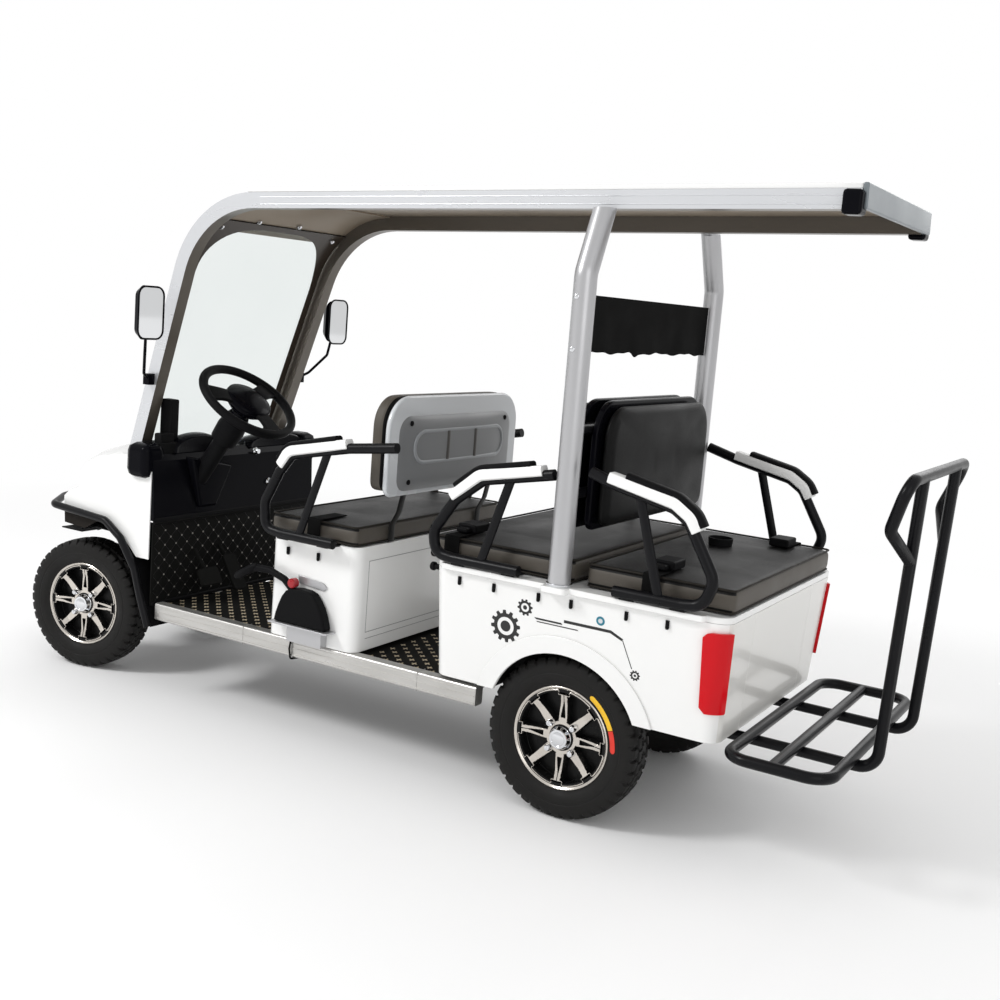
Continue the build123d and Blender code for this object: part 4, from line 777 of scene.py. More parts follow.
def rim_face(centre, axis):
    """Height = floor + (top - floor) * the largest of arm, ring and hub. An arm's half width goes from
    13.5 mm at the hub to 9.5 mm at the ring; the ring runs at 133 mm and steps in to 120.5 mm within
    16.5 mm of an arm's middle; a wedge lowers every other arm by 10 mm."""
    axis, level, over = across_frame(axis)
    turn = np.arange(arms * arm_steps) * 2 * pi / (arms * arm_steps)
    r = face_radii[:, None]
    place = turn[None] * arms / (2 * pi)
    away = np.abs((place + 0.5) % 1 - 0.5) * 2 * pi / arms * r
    wedge_arm = (np.floor(place + 0.5) % 2 == 0) * 1.0
    out = np.clip((r - 0.050) / 0.070, 0, 1)
    arm_half = 0.0135 - 0.0040 * out + 0.0012 * np.maximum(0, out - 0.85) / 0.15
    arm = step(arm_half - away, 0.0012) * step(0.1215 - r, 0.001)
    wedge_half = 0.0066 * np.clip((0.106 - r) / 0.046, 0, 1)
    wedge = step(wedge_half - away, 0.0009) * step(r - 0.057, 0.001) * wedge_arm
    ring_at = 0.1330 - 0.0125 * step(0.0165 - away, 0.0035)
    ring_line = step(0.0017 - np.abs(r - ring_at), 0.0010)
    beside_ring = step(r - 0.1195, 0.001) * step(0.1335 - r, 0.001)
    side_line = step(0.0016 - np.abs(away - 0.0165), 0.0010) * beside_ring
    hub = step(0.0490 - r, 0.002) + 0 * away
    proud = np.maximum.reduce([arm, ring_line, side_line, hub])
    top = 0.0360 + 0.0070 * np.clip((r - 0.095) / 0.028, 0, 1)
    floor_height = 0.008 + 0.0335 * step(r - 0.1262, 0.0022)
    height = floor_height + (top - floor_height) * proud - 0.010 * wedge * (1 - ring_line)
    spoke = np.cos(turn)[:, None] * level + np.sin(turn)[:, None] * over
    points = centre + axis * height[:, :, None] + spoke[None] * r[:, :, None]
    bright = (proud > 0.5) & (wedge < 0.5) & (r > 0.0365)
    return points.reshape(-1, 3), grid_faces(len(face_radii), len(turn), False, True), bright


# columns: along the axle, radius; the bright lip, then the black barrel behind it
lip_profile = [(0.0425, 0.1362), (0.0445, 0.1385), (0.0460, 0.1405), (0.0460, 0.1425), (0.0448, 0.1440),
               (0.0425, 0.1440)]
barrel_profile = [
    (0.0425, 0.1440), (0.0418, 0.1425), (0.0415, 0.1275), (-0.0415, 0.1275), (-0.0418, 0.1425),
    (-0.0440, 0.1440), (-0.0460, 0.1425), (-0.0445, 0.1250), (-0.0300, 0.1240), (0.0060, 0.1235),
]
cap_profile = [(0.034, 0.033), (0.042, 0.0325), (0.045, 0.0300), (0.054, 0.0285), (0.0575, 0.0260),
               (0.0580, 0.0205), (0.0570, 0.0190), (0.0585, 0.0150), (0.0590, 0.0)]
drum_profile = [(0.0060, 0.1235), (0.0020, 0.085), (-0.0200, 0.0600), (-0.0200, 0.0)]
print("rim face:", len(face_radii), "rings of", arms * arm_steps, "points")

# %% [markdown]
# One rim is the face, the lip, the barrel and drum behind it, a hub cap and four nuts. They are one
# casting to look at, so they share one mesh, and each face says which of three finishes it takes.

# %% Rim pieces
def rim_piece(name, end):
    """One rim: lip, face, barrel, hub cap and four nuts on the plain arms."""
    centre, axis = wheel_places[name]
    unit, level, over = across_frame(axis)
    points, faces, bright = rim_face(centre, axis)
    shown = bright[:-1] & bright[1:] & np.roll(bright, -1, 1)[:-1]
    nut, nuts = [(0.034, 0.0105), (0.046, 0.0100), (0.0505, 0.0075), (0.0520, 0.0)], []
    for k in range(4):
        swing = radians(45 + 90 * k)
        spot = centre + (level * cos(swing) + over * sin(swing)) * 0.0500
        nuts.append(turned(nut, spot, unit, 12))
    parts = [(turned(lip_profile, centre, axis, 128), 0), ((points, faces), None),
             (turned(barrel_profile, centre, axis, 128), 1), (turned(drum_profile, centre, axis, 64), 1),
             (turned(cap_profile, centre, axis, 48), 2), *[(form, 2) for form in nuts]]
    mesh_points, mesh_faces = joined([form for form, _ in parts])
    mesh = bpy.data.meshes.new(f"rim_{end}_cast")
    mesh.from_pydata(mesh_points.tolist(), [], mesh_faces)
    kinds = np.concatenate([
        np.where(shown.ravel(), 0, 1) if kind is None else np.full(len(form[1]), kind) for form, kind in parts
    ]).astype(np.int32)
    form = bmesh.new()
    form.from_mesh(mesh)
    bmesh.ops.recalc_face_normals(form, faces=form.faces)
    form.to_mesh(mesh)
    form.free()
    mesh.shade_smooth()
    mesh.set_sharp_from_angle(angle=radians(34))
    settle(bpy.data.objects.new(f"rim_{end}_cast", mesh), ["machined", "rim_black", "chrome"], name,
           "rim_alloy", f"rim_{end}")
    mesh.polygons.foreach_set("material_index", kinds)


for name in wheel_bodies:
    rim_piece(name, name.removeprefix("wheel_"))
print("rims:", len(face_radii) * arms * arm_steps, "faces each")

# %% [markdown]
# ## Tyre label
# A blank paper label, yellow and then red, follows the side wall of the left rear tyre. It is a strip
# of a ring whose free ends are round. How far it stands out follows the wall's own bulge.

# %% Tyre label
label_centre = wheel_places["wheel_rear_left"][0]
label_radius, end_round = 0.1617, 3
label_forms = {}
for colour, first, last in (("label_yellow", 59, 22), ("label_red", 21.5, 0)):
    swing = np.radians(np.linspace(first, last, 40))[:, None]
    reach = np.linspace(0.1534, 0.1702, 4)[None]
    yellow = colour == "label_yellow"
    past = swing - radians(first - end_round) if yellow else radians(last + end_round) - swing
    squeeze = np.sqrt(np.clip(1 - np.clip(past / radians(end_round), 0, 1) ** 2, 0.02, 1))
    radius = label_radius + (reach - label_radius) * squeeze
    out = np.interp(radius, [0.154, 0.163, 0.172], [0.0497, 0.0542, 0.0557]) + 0.0003
    label_points = np.stack([label_centre[0] + out, label_centre[1] + radius * np.cos(swing),
                             label_centre[2] + radius * np.sin(swing)], 2)
    label_forms[colour] = (label_points.reshape(-1, 3), grid_faces(40, 4))
for colour, form in label_forms.items():
    piece_of(f"tyre_{colour}", [form], colour, "wheel_rear_left", "tyre_rubber")

# %% [markdown]
# ## Seats
# A bench cushion is foam pulled over by a sewn cover: the seams stay where they are and the panels
# between them swell. So each pad starts as an even box of quads with round corners, its seam lines
# are pinned, and a short cloth simulation with some air pressure fills the panels. The even box comes
# first: cloth bends best where all its quads are of one size.

# %% Even box
def even_box(half, step_size):
    """Points on the faces of a box about the origin, at even steps, and the quads between them."""
    half = np.asarray(half, float)
    n = np.maximum(np.round(2 * half / step_size).astype(int), 3)
    quads = []
    for axis in range(3):
        b, c = (axis + 1) % 3, (axis + 2) % 3
        i, j = np.meshgrid(np.arange(n[b]), np.arange(n[c]), indexing="ij")
        for end in (0, n[axis]):
            corners = []
            for di, dj in ((0, 0), (1, 0), (1, 1), (0, 1)):
                key = np.zeros((*i.shape, 3), int)
                key[..., axis], key[..., b], key[..., c] = end, i + di, j + dj
                corners.append((key @ [(n[1] + 1) * (n[2] + 1), n[2] + 1, 1]).ravel())
            quad = np.stack(corners, 1)
            quads.append(quad if end else quad[:, ::-1])
    quads = np.concatenate(quads)
    used, faces = np.unique(quads, return_inverse=True)
    faces = faces.reshape(quads.shape)
    key = np.stack([used // ((n[1] + 1) * (n[2] + 1)), used // (n[2] + 1) % (n[1] + 1), used % (n[2] + 1)], 1)
    return (key / n * 2 - 1) * half, faces


print("a 0.3 x 0.2 x 0.1 m box at 0.1 m has", len(even_box((0.15, 0.1, 0.05), 0.1)[1]), "quads")

# %% [markdown]
# A bench is rectangular with round corners in plan, and its edges are round as well. The box's points
# are pulled in to both, and keep their neighbours, so the quads stay in order.

# %% Round corners and edges
def round_plan(flat, half, upper, lower):
    """Pulls the corners of a rectangle in to arcs, upper and lower ones by their own radius."""
    size = np.maximum(np.abs(flat[:, 0]) / half[0], np.abs(flat[:, 1]) / half[1])
    edge = flat / np.maximum(size, 1e-9)[:, None]
    radius = np.where(flat[:, 1] > 0, upper, lower)[:, None]
    inner = np.clip(edge, -(np.asarray(half) - radius), np.asarray(half) - radius)
    out = edge - inner
    length = np.linalg.norm(out, axis=1)[:, None]
    rounded = inner + out / np.maximum(length, 1e-9) * np.minimum(length, radius)
    return rounded * size[:, None]


def pad_points(half, step_size, upper, lower, edge):
    """An even box with round corners in plan and round edges in its thickness (its third axis)."""
    points, faces = even_box(half, step_size)
    flat = round_plan(points[:, :2], half[:2], upper, lower)
    rim = np.maximum(np.abs(points[:, 0]) / half[0], np.abs(points[:, 1]) / half[1])
    near_face = np.clip((np.abs(points[:, 2]) - half[2] + edge) / edge, 0, 1)
    inset = edge * (1 - np.sqrt(np.clip(1 - near_face ** 2, 0, 1)))
    shrink = 1 - inset[:, None] / np.linalg.norm(half[:2]) * rim[:, None] ** 6 * 1.6
    drop = edge * 0.4 * np.clip((rim - 0.96) / 0.04, 0, 1) ** 2
    on_face = np.abs(points[:, 2]) > half[2] * 0.98
    thick = np.sign(points[:, 2]) * np.maximum(np.abs(points[:, 2]) - drop * on_face, 0)
    return np.column_stack([flat * shrink, thick]), faces, points


print("a corner at 1, 1 is pulled in to", round_plan(np.ones((1, 2)), (1, 1), 0.2, 0.2)[0].round(3))

# %% [markdown]
# Foam pushes the cover out evenly, which is what air pressure does in a cloth simulation. The seams
# are pinned, gravity is off, and no point may move further than a cap, so a pad can't balloon.

# %% Foam
air_pressure, swell_cap = 4.0, 0.007


def swell(piece, pressure, cap, pinned):
    """Fills the piece by a cloth simulation under air pressure and keeps each point within a cap."""
    rest = np.array([v.co for v in piece.data.vertices])
    group = piece.vertex_groups.new(name="seams")
    group.add([int(k) for k in np.flatnonzero(pinned)], 1.0, "REPLACE")
    cloth = piece.modifiers.new("foam", "CLOTH")
    cloth.settings.quality = 6
    cloth.settings.use_pressure = True
    cloth.settings.uniform_pressure_force = pressure
    cloth.settings.vertex_group_mass = "seams"
    cloth.settings.tension_stiffness = cloth.settings.compression_stiffness = 12
    cloth.settings.bending_stiffness = 1.5
    cloth.settings.effector_weights.gravity = 0
    cloth.collision_settings.use_collision = False
    cloth.point_cache.frame_start, cloth.point_cache.frame_end = 1, 20
    for number in range(1, 21):
        scene.frame_set(number)
    view = bpy.context.evaluated_depsgraph_get()
    filled = np.array([v.co for v in piece.evaluated_get(view).data.vertices])
    piece.modifiers.remove(cloth)
    scene.frame_set(1)
    move = filled - rest
    length = np.linalg.norm(move, axis=1)[:, None]
    capped = rest + move * np.minimum(1, cap / np.maximum(length, 1e-9))
    piece.data.vertices.foreach_set("co", capped.ravel())
    piece.data.update()
    return float(length.max())


print("air pressure", air_pressure, "and at most", swell_cap * 1000, "mm of swelling")

# %% [markdown]
# A pad takes its place and size from its node's box, less a little slack for the swelling. Its front
# is crowned before the foam fills it. The faces of the seat cushions that look sideways, and those of
# the driver's seat back, get a paler brown finish, which is painted light where the lamps fall on the
# border. The backrests' cover is a darker copy of the leatherette, which is painted shade.

# %% Pads
cloth_step = 0.012


def pad(name, node, frame_axes, upper, lower, edge, crown, slack=0.004, more=((0, 0, 0), (0, 0, 0))):
    """A padded piece in the place of a soft node. Its front rises by crown * (1 - x^4) * (1 - y^4), with x
    and y from -1 to 1 over its plan. frame_axes are the plan's two axes and the facing; upper and lower
    are the radii of its corners; more moves the box's low and high corner."""
    low, high = (np.array(v) + w for v, w in zip(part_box(node), more))
    a, b, facing = frame_axes
    axes = np.array([a, b, facing], float)
    size = np.abs(axes @ (high - low)) / 2 - slack
    shaped, faces, even = pad_points(size, cloth_step, upper, lower, edge)
    x, y = even[:, 0] / size[0], even[:, 1] / size[1]
    front = even[:, 2] > size[2] * 0.98
    rise = crown * (1 - x ** 4) * (1 - y ** 4)
    shaped[:, 2] += np.where(front, rise - crown * 0.5, 0)
    rim = np.maximum(np.abs(x), np.abs(y))
    seam = front & (rim > 1 - 1.2 * cloth_step / size.min()) | (even[:, 2] < -size[2] * 0.5)
    world = (low + high) / 2 + shaped @ axes
    mesh = bpy.data.meshes.new(name)
    mesh.from_pydata(world.tolist(), [], faces.tolist())
    piece = bpy.data.objects.new(name, mesh)
    scene.collection.objects.link(piece)
    form = bmesh.new()
    form.from_mesh(mesh)
    bmesh.ops.recalc_face_normals(form, faces=form.faces)
    form.to_mesh(mesh)
    form.free()
    grown = swell(piece, air_pressure, swell_cap, seam)
    mesh.shade_smooth()
    side_face = np.abs(np.array([f.normal for f in mesh.polygons]) @ axes[2]) < 0.6
    subdivide = piece.modifiers.new("smoothed", "SUBSURF")
    subdivide.levels = subdivide.render_levels = 1
    flat_seat = facing[2] > 0
    has_side = flat_seat or node == "front_backrest"
    # Backrests take the darker copy of the leatherette: painted shade.
    cover = "leatherette" if flat_seat else "back_leather"
    settle(piece, [cover, "leather_side"], "root", "brown_leather", node)
    # Sideways faces of the cushions and of the driver's seat back take the paler copy: painted light.
    mesh.polygons.foreach_set("material_index", (side_face & has_side).astype(np.int32))
    print(f"{name}: {len(world)} points, swelled {grown * 1000:.1f} mm")
    return piece


across, deep, high_up = (1, 0, 0), (0, 1, 0), (0, 0, 1)
flat_bench = (across, deep, high_up)
for bench in ("front_cushion", "middle_cushion", "rear_cushion"):
    pad(f"{bench}_cover", bench, flat_bench, 0.016, 0.016, 0.006, 0.006, slack=0.002)
facing_front = (across, high_up, (0, -1, 0))
facing_rear = (across, high_up, (0, 1, 0))
for back, axes, more in (("front_backrest", facing_front, ((-0.014, -0.022, 0), (0.006, 0, 0.012))),
                         ("middle_backrest", facing_front, ((0, 0, 0), (0, 0, 0))),
                         ("rear_backrest", facing_rear, ((0, 0, 0), (0, 0, 0)))):
    pad(f"{back}_cover", back, axes, 0.09, 0.03, 0.010, 0.008, more=more)

# %% [markdown]
# ## Steering wheel
# The grip is a torus that thickens and thins three times as it goes round, three broad spokes run in
# to a padded hub, and a collar hides the top of the column.

# %% Steering wheel
wheel_joint = next(j for j in frame["joints"] if j["child"] == "steering_wheel")
wheel_middle = np.array(wheel_joint["pos_m"])
wheel_axis, wheel_across, wheel_over = across_frame(wheel_joint["axis"])
grip_circle = 0.160


def in_wheel(points):
    """Points given as across, over and along the steering wheel's axis."""
    points = np.asarray(points, float).reshape(-1, 3)
    flat = points[:, :1] * wheel_across + points[:, 1:2] * wheel_over
    return wheel_middle + flat + points[:, 2:] * wheel_axis


turn = np.arange(96) * 2 * pi / 96
grip_path = in_wheel(np.stack([grip_circle * np.cos(turn), grip_circle * np.sin(turn), 0 * turn], 1))
grip = carried(ring(0.0148, 18), grip_path, True, scale=1 + 0.05 * np.cos(3 * turn))
wheel_forms = [grip]
for angle, width in ((20, 0.056), (160, 0.056), (270, 0.050)):
    swing = radians(angle)
    reach = np.linspace(0.030, 0.158, 9)
    half = width / 2 * (1 + 0.5 * ((reach - 0.09) / 0.07) ** 2)
    lift = 0.010 * np.sin(np.clip((reach - 0.03) / 0.13, 0, 1) * pi) - 0.004
    rows = []
    for side_of, thick in ((1, 0.006), (-1, 0.006), (-1, -0.006), (1, -0.006)):
        rows.append(np.stack([
            reach * cos(swing) - side_of * half * sin(swing),
            reach * sin(swing) + side_of * half * cos(swing),
            thick + lift - 0.002,
        ], 1))
    rings = np.stack(rows, 1)
    end = 4 * (len(reach) - 1)
    faces = grid_faces(len(reach), 4, False, True) + [[0, 1, 2, 3], [end + 3, end + 2, end + 1, end]]
    wheel_forms.append((in_wheel(rings), faces))
piece_of("steering_wheel_grip", wheel_forms, "black_moulded", "steering_wheel", "black_plastic",
         ["steering_wheel"], bevel=0.002)
hub_profile = [(-0.030, 0.0), (-0.030, 0.056), (-0.014, 0.074), (0.000, 0.080), (0.009, 0.078),
               (0.014, 0.070), (0.0175, 0.050), (0.019, 0.026), (0.0195, 0.0)]
shaft_profile = [(-0.150, 0.0), (-0.150, 0.012), (-0.0585, 0.012), (-0.058, 0.029), (-0.024, 0.033),
                 (-0.020, 0.0)]
piece_of("steering_hub_pad", [turned(hub_profile, wheel_middle, wheel_axis, 48),
                              turned(shaft_profile, wheel_middle, wheel_axis, 32)],
         "black_gloss", "steering_wheel", "black_plastic", smooth=50)

# %% [markdown]
# ## Armrests
# An armrest is one steel tube bent into an open loop, with a strut across it. Its lower run rests on
# the lip of the body on small feet. A path of corners, each turned into an arc, gives the tube.

# %% Armrest tubes
armrest_x = 0.455
# each: the loop (y, z) from its upper to its lower end, the strut, places of the feet, height of the lip
armrest_lines = {
    "front": ([(0.121, 0.9555), (-0.044, 0.934), (-0.255, 0.890), (-0.300, 0.833), (-0.352, 0.735),
               (-0.345, 0.655), (-0.285, 0.6475), (-0.084, 0.6465)],
              [(-0.121, 0.918), (-0.213, 0.655)], (-0.272, -0.120), 0.6315),
    "middle": ([(0.625, 0.950), (0.412, 0.907), (0.326, 0.840), (0.262, 0.745), (0.272, 0.685),
                (0.330, 0.6775), (0.540, 0.6775)],
               [(0.497, 0.924), (0.421, 0.684)], (0.350, 0.510), 0.6605),
    "rear": ([(0.730, 0.972), (0.790, 0.952), (0.965, 0.914), (1.008, 0.886), (1.088, 0.750),
              (1.064, 0.684), (1.006, 0.6775), (0.822, 0.6775)],
             [(0.872, 0.926), (0.944, 0.684)], (0.860, 1.000), 0.6605),
}
# the upper ends of the tubes on the far side, which is the right one
far_ends = {"front": (0.000, 0.943), "rear": (0.691, 0.980)}
for set_name, (loop, strut, feet, lip) in armrest_lines.items():
    forms = []
    for side in (1, -1):
        first = far_ends.get(set_name, loop[0]) if side < 0 else loop[0]
        corners = [(side * armrest_x, y, z) for y, z in [first, *loop[1:]]]
        forms.append(tube(bent(corners, 0.048, 9), 0.0152, 18))
        forms.append(carried(ring(0.0080, 12, 1.7), [(side * armrest_x, y, z) for y, z in strut]))
        for y in feet:
            low, high = sorted((side * 0.398, side * 0.462))
            forms.append(box_form((low, y - 0.020, lip), (high, y + 0.020, lip + 0.004)))
            foot = [(0, 0.0065), (0.022, 0.0065), (0.0225, 0)]
            forms.append(turned(foot, (side * armrest_x, y, lip), (0, 0, 1), 12))
    nodes = [f"armrests_{set_name}"]
    piece_of(f"armrest_tubes_{set_name}", forms, "black_tube", "root", "black_paint", nodes)

# %% [markdown]
# ## Seat back straps
# Two flat steel straps carry the driver's seat back. Each is a squashed ring carried along a short
# line that leans back above the cushion.

# %% Seat back straps
bar_forms = []
for x in (0.245, -0.245):
    corners = [(x, 0.008, 0.800), (x, -0.006, 0.735), (x, -0.0290, 0.690), (x, -0.0290, 0.640)]
    bar_forms.append(carried(ring(0.0150, 16, 0.22), bent(corners, 0.02, 5)))
piece_of("seat_back_bars", bar_forms, "leatherette", "root", "black_paint", ["front_back_bars"])

# %% [markdown]
# ## Armrest pads
# Each pad is a white moulding that wraps the tube from above, with a soft black strip let into its
# top. Both are profiles carried along the same bent line.

# %% Armrest pads
pad_lines = {
    "front": [(-0.282, 0.846), (-0.250, 0.888), (-0.044, 0.934)],
    "middle": [(0.326, 0.840), (0.412, 0.907), (0.596, 0.944)],
    "rear": [(0.782, 0.9535), (0.965, 0.914), (1.005, 0.888), (1.023, 0.858)],
}
white_profile = [
    (-0.021, 0.002), (-0.022, 0.020), (-0.018, 0.030), (-0.012, 0.031), (0.012, 0.031), (0.018, 0.030),
    (0.022, 0.020), (0.021, 0.002), (0.0145, -0.002), (0.0145, 0.010), (0.006, 0.0148),
    (-0.006, 0.0148), (-0.0145, 0.010), (-0.0145, -0.002)]
black_profile = [(-0.0185, 0.027), (-0.0180, 0.0370), (-0.010, 0.0415), (0.010, 0.0415), (0.0180, 0.0370),
                 (0.0185, 0.027)]
white_forms, black_forms = [], []
for side in (1, -1):
    for line in pad_lines.values():
        path = bent([(side * armrest_x, y, z) for y, z in line], 0.035, 8)
        way = np.gradient(path, axis=0)
        way /= np.linalg.norm(way, axis=1)[:, None]
        sideways = np.tile((1.0, 0, 0), (len(path), 1))
        upward = np.cross(sideways, way)
        frames = (way, sideways, upward)
        count = len(path)
        taper = np.ones(count)
        taper[[0, -1]] = 0.90
        white_forms.append(carried(white_profile, path, frames=frames, scale=taper))
        inner = slice(1, count - 1)
        start = path[0] * 0.75 + path[1] * 0.25
        end = path[-1] * 0.82 + path[-2] * 0.18
        strip_path = np.concatenate([[start], path[inner], [end]])
        strip_frames = tuple(np.concatenate([f[:1], f[inner], f[-1:]]) for f in frames)
        black_forms.append(carried(black_profile, strip_path, frames=strip_frames))
piece_of("armrest_pad_mouldings", white_forms, "white_gloss", "root", "white_pad", ["armrest_pads"],
         bevel=0.0015)
piece_of("armrest_pad_strips", black_forms, "black_moulded", "root", "white_pad", bevel=0.002)

# %% [markdown]
# ## Curtain
# A short curtain hangs between the rear posts, with a hem that waves because the cloth is wider
# than the gap that it hangs in.

# %% Curtain
curtain_low, curtain_high = (np.array(v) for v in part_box("curtain"))
curtain_inset = 0.004
u = np.linspace(curtain_low[0] + curtain_inset, curtain_high[0] - curtain_inset, 181)
v = np.linspace(0, 1, 25)
span, drop = np.meshgrid(u, v, indexing="ij")
wave = 0.0022 * np.sin(span * 23 + 0.6) * drop + 0.0008 * np.sin(span * 61 + 1.9) * drop
notch = np.exp(-((span - 0.111) / 0.016) ** 2)
hem = 0.003 + 0.0025 * np.sin(span * 31) + 0.0015 * np.sin(span * 74 + 1) + 0.010 * notch
height = curtain_high[2] - 0.002 - drop * (curtain_high[2] - curtain_low[2] - 0.008 + hem)
sheet_points = np.stack([span, (curtain_low[1] + curtain_high[1]) / 2 + wave, height], 2)
sheet = (sheet_points.reshape(-1, 3), grid_faces(len(u), len(v)))
curtain = piece_of("curtain_sheet", [sheet], "curtain_cloth", "root", "curtain_cloth", ["curtain"])
thickness = curtain.modifiers.new("cloth_thickness", "SOLIDIFY")
thickness.thickness = 0.0016
thickness.offset = 0

# %% [markdown]
# ## Laying things on a surface
# Stickers, studs and trim follow the panel that they sit on. A ray sent at the panel from outside
# finds the exact spot, so a sticker's outline needs only its two flat coordinates.

# %% Surface finder
def surface(*names):
    """A search tree over the triangles of some nodes."""
    points, faces = [], []
    for node in names:
        mesh = frame["nodes"][node].data
        start = len(points)
        points += [v.co.copy() for v in mesh.vertices]
        faces += [[start + k for k in polygon.vertices] for polygon in mesh.polygons]
    return BVHTree.FromPolygons(points, faces)


def laid(tree, origins, direction, lift):
    """Where rays from the origins meet the surface, lifted a little back towards their start."""
    direction = Vector(direction).normalized()
    spots = []
    for origin in np.asarray(origins, float).reshape(-1, 3):
        hit = tree.ray_cast(Vector(origin), direction)[0]
        spots.append(np.array(hit if hit is not None else Vector(origin)) - np.array(direction) * lift)
    return np.array(spots)


roof_spot = laid(surface("roof_panel"), [(0, 0.5, 3)], (0, 0, -1), 0)[0]
print("a ray from above meets the roof at z =", round(float(roof_spot[2]), 4))

# %% [markdown]
# ## Stickers
# The side stickers are three gear wheels and two slanted bars. A gear's outline is a radius that
# jumps between its root and its tip as the angle goes round.

# %% Sticker shapes
side_tree = surface("rear_side_panels", "arch_flares")


def on_side(side, yz, lift=0.0004):
    """Points (y, z) laid on the outside of the left (1) or right (-1) rear side."""
    yz = np.asarray(yz, float)
    return laid(side_tree, np.column_stack([np.full(len(yz), side * 0.7), yz]), (-side, 0, 0), lift)


def gear_outline(y, z, radius, teeth):
    """Tips and roots alternate; each tooth fills half of its pitch and narrows a little."""
    swing = np.arange(teeth * 8) * 2 * pi / (teeth * 8)
    tip = np.isin(np.arange(teeth * 8) % 8, (0, 1, 2, 3))
    reach = np.where(tip, radius, radius * 0.80)
    return np.stack([y + reach * np.cos(swing), z + reach * np.sin(swing)], 1)


def band(outer, inner):
    """Quads between two closed outlines with as many points each."""
    count = len(outer)
    return np.concatenate([outer, inner]), grid_faces(2, count, False, True)


def disc(side, y, z, radius, lift=0.0004):
    """A flat disc of 32 sides laid on the side panel."""
    swing = np.arange(32) * 2 * pi / 32
    points = np.stack([y + radius * np.cos(swing), z + radius * np.sin(swing)], 1)
    return on_side(side, points, lift), [list(range(32))]


print("the left side stands at x =", round(float(on_side(1, [(0.55, 0.45)])[0][0]), 4))

# %% [markdown]
# Each wheel is a band between its toothed outline and its hole, with a dot in the middle. The round
# sticker beside them is a teal disc with a pale middle, and carries no sign.

# %% Side stickers
sticker_forms = []
for side in (1, -1):
    # columns: y, z, radius, teeth, hole as a share of the radius, dot as a share of it
    for y, z, radius, teeth, hole, dot in [
        (0.497, 0.514, 0.046, 12, 0.56, 0.34), (0.557, 0.579, 0.0235, 10, 0.52, 0.26),
        (0.887, 0.460, 0.0145, 10, 0.5, 0.24),
    ]:
        outline = gear_outline(y, z, radius, teeth)
        swing = np.arange(len(outline)) * 2 * pi / len(outline)
        hole_line = np.stack([y + radius * hole * np.cos(swing), z + radius * hole * np.sin(swing)], 1)
        sticker_forms.append(band(on_side(side, outline), on_side(side, hole_line)))
        sticker_forms.append(disc(side, y, z, radius * dot))
    for bar in [
        [(0.586, 0.558), (0.668, 0.558), (0.672, 0.553), (0.592, 0.553)],
        [(0.592, 0.549), (0.716, 0.549), (0.720, 0.546), (0.596, 0.546)],
        [(0.676, 0.568), (0.814, 0.568), (0.812, 0.560), (0.676, 0.560)],
        [(0.814, 0.568), (0.850, 0.551), (0.846, 0.545), (0.812, 0.560)],
        [(0.847, 0.547), (0.8495, 0.547), (0.8785, 0.476), (0.8760, 0.476)],
    ]:
        sticker_forms.append((on_side(side, bar), [[0, 1, 2, 3]]))
piece_of("side_stickers", sticker_forms, "decal_black", clean=False)
round_y, round_z = 0.783, 0.587
for name, material, radius, lift in (("round_sticker", "decal_teal", 0.0125, 0.0004),
                                     ("round_sticker_middle", "shell_light", 0.0065, 0.0007)):
    discs = [disc(side, round_y, round_z, radius, lift=lift) for side in (1, -1)]
    piece_of(name, discs, material, clean=False)

# %% [markdown]
# ## Studs and screws
# The deck and the seat box are held by black plugs under their lips, and the curtain by two screws
# in each post. A bright collar closes the foot of each post. All of them are turned forms.

# %% Studs and screws
stud_forms, screw_forms = [], []
pin = [(0, 0), (0, 0.0052), (0.020, 0.0052), (0.0235, 0.0035), (0.0245, 0)]
for side in (1, -1):
    for y in (0.3485, 0.4592, 0.598, 0.6963, 0.8563, 0.9703):
        x = on_side(side, [(y, 0.612)])[0][0] + side * 0.0025
        stud_forms.append(turned(pin, (x, y, 0.6275), (0, 0, -1), 14))
    for y in (-0.294, -0.177):
        stud_forms.append(turned(pin, (side * 0.4045, y, 0.598), (0, 0, -1), 14))
    for z in (1.411, 1.278):
        screw_forms.append(turned([(0, 0.0075), (0.0025, 0.0072), (0.0045, 0.0045), (0.0048, 0)],
                                  (side * 0.4715, 0.652, z), (side, 0, 0), 20))
    screw_forms.append(turned([(-0.002, 0.0305), (0.004, 0.0345), (0.007, 0.0345), (0.0085, 0.0305)],
                              (side * 0.443, 0.658, 0.660), (0, 0, 1), 40))
piece_of("lip_plugs", stud_forms, "black_moulded")
piece_of("post_screws", screw_forms, "chrome")

# %% [markdown]
# ## Windscreen edge
# The clear screen is framed by a dark band that is wider at its two top corners, and four round
# fasteners hold its head. The band is a sheet between two outlines, laid on the screen's rear face.

# %% Windscreen edge
screen_tree = surface("windshield")
low_z = np.array([0.800, 1.00, 1.20, 1.36])
arc = np.linspace(0, pi / 2, 15)
outer_z = np.concatenate([low_z, np.interp(arc, [0, pi / 4, pi / 2], [1.40, 1.5735, 1.5735])])
outer_x = 0.3055 + (outer_z - 0.792) * 0.0345 - 0.0015
outer_x[4:] *= np.interp(arc, [0, pi / 4, pi / 2], [1, 1, 0])
inner_z = np.concatenate([low_z, 1.380 + 0.178 * np.sin(arc) ** 0.85])
inner_x = np.concatenate([[0.272, 0.279, 0.286, 0.2915], 0.292 * np.cos(arc) ** 0.55])
rows = []
for blend in (0, 0.5, 1):
    half_x = outer_x * (1 - blend) + inner_x * blend
    half_z = outer_z * (1 - blend) + inner_z * blend
    x, z = np.concatenate([half_x, -half_x[-2::-1]]), np.concatenate([half_z, half_z[-2::-1]])
    rows.append(laid(screen_tree, np.column_stack([x, 0 * x, z]), (0, -1, 0), 0.0008))
piece_of("screen_edging", [(np.concatenate(rows), grid_faces(3, len(rows[0])))], "screen_edge",
         clean=False, smooth=60)
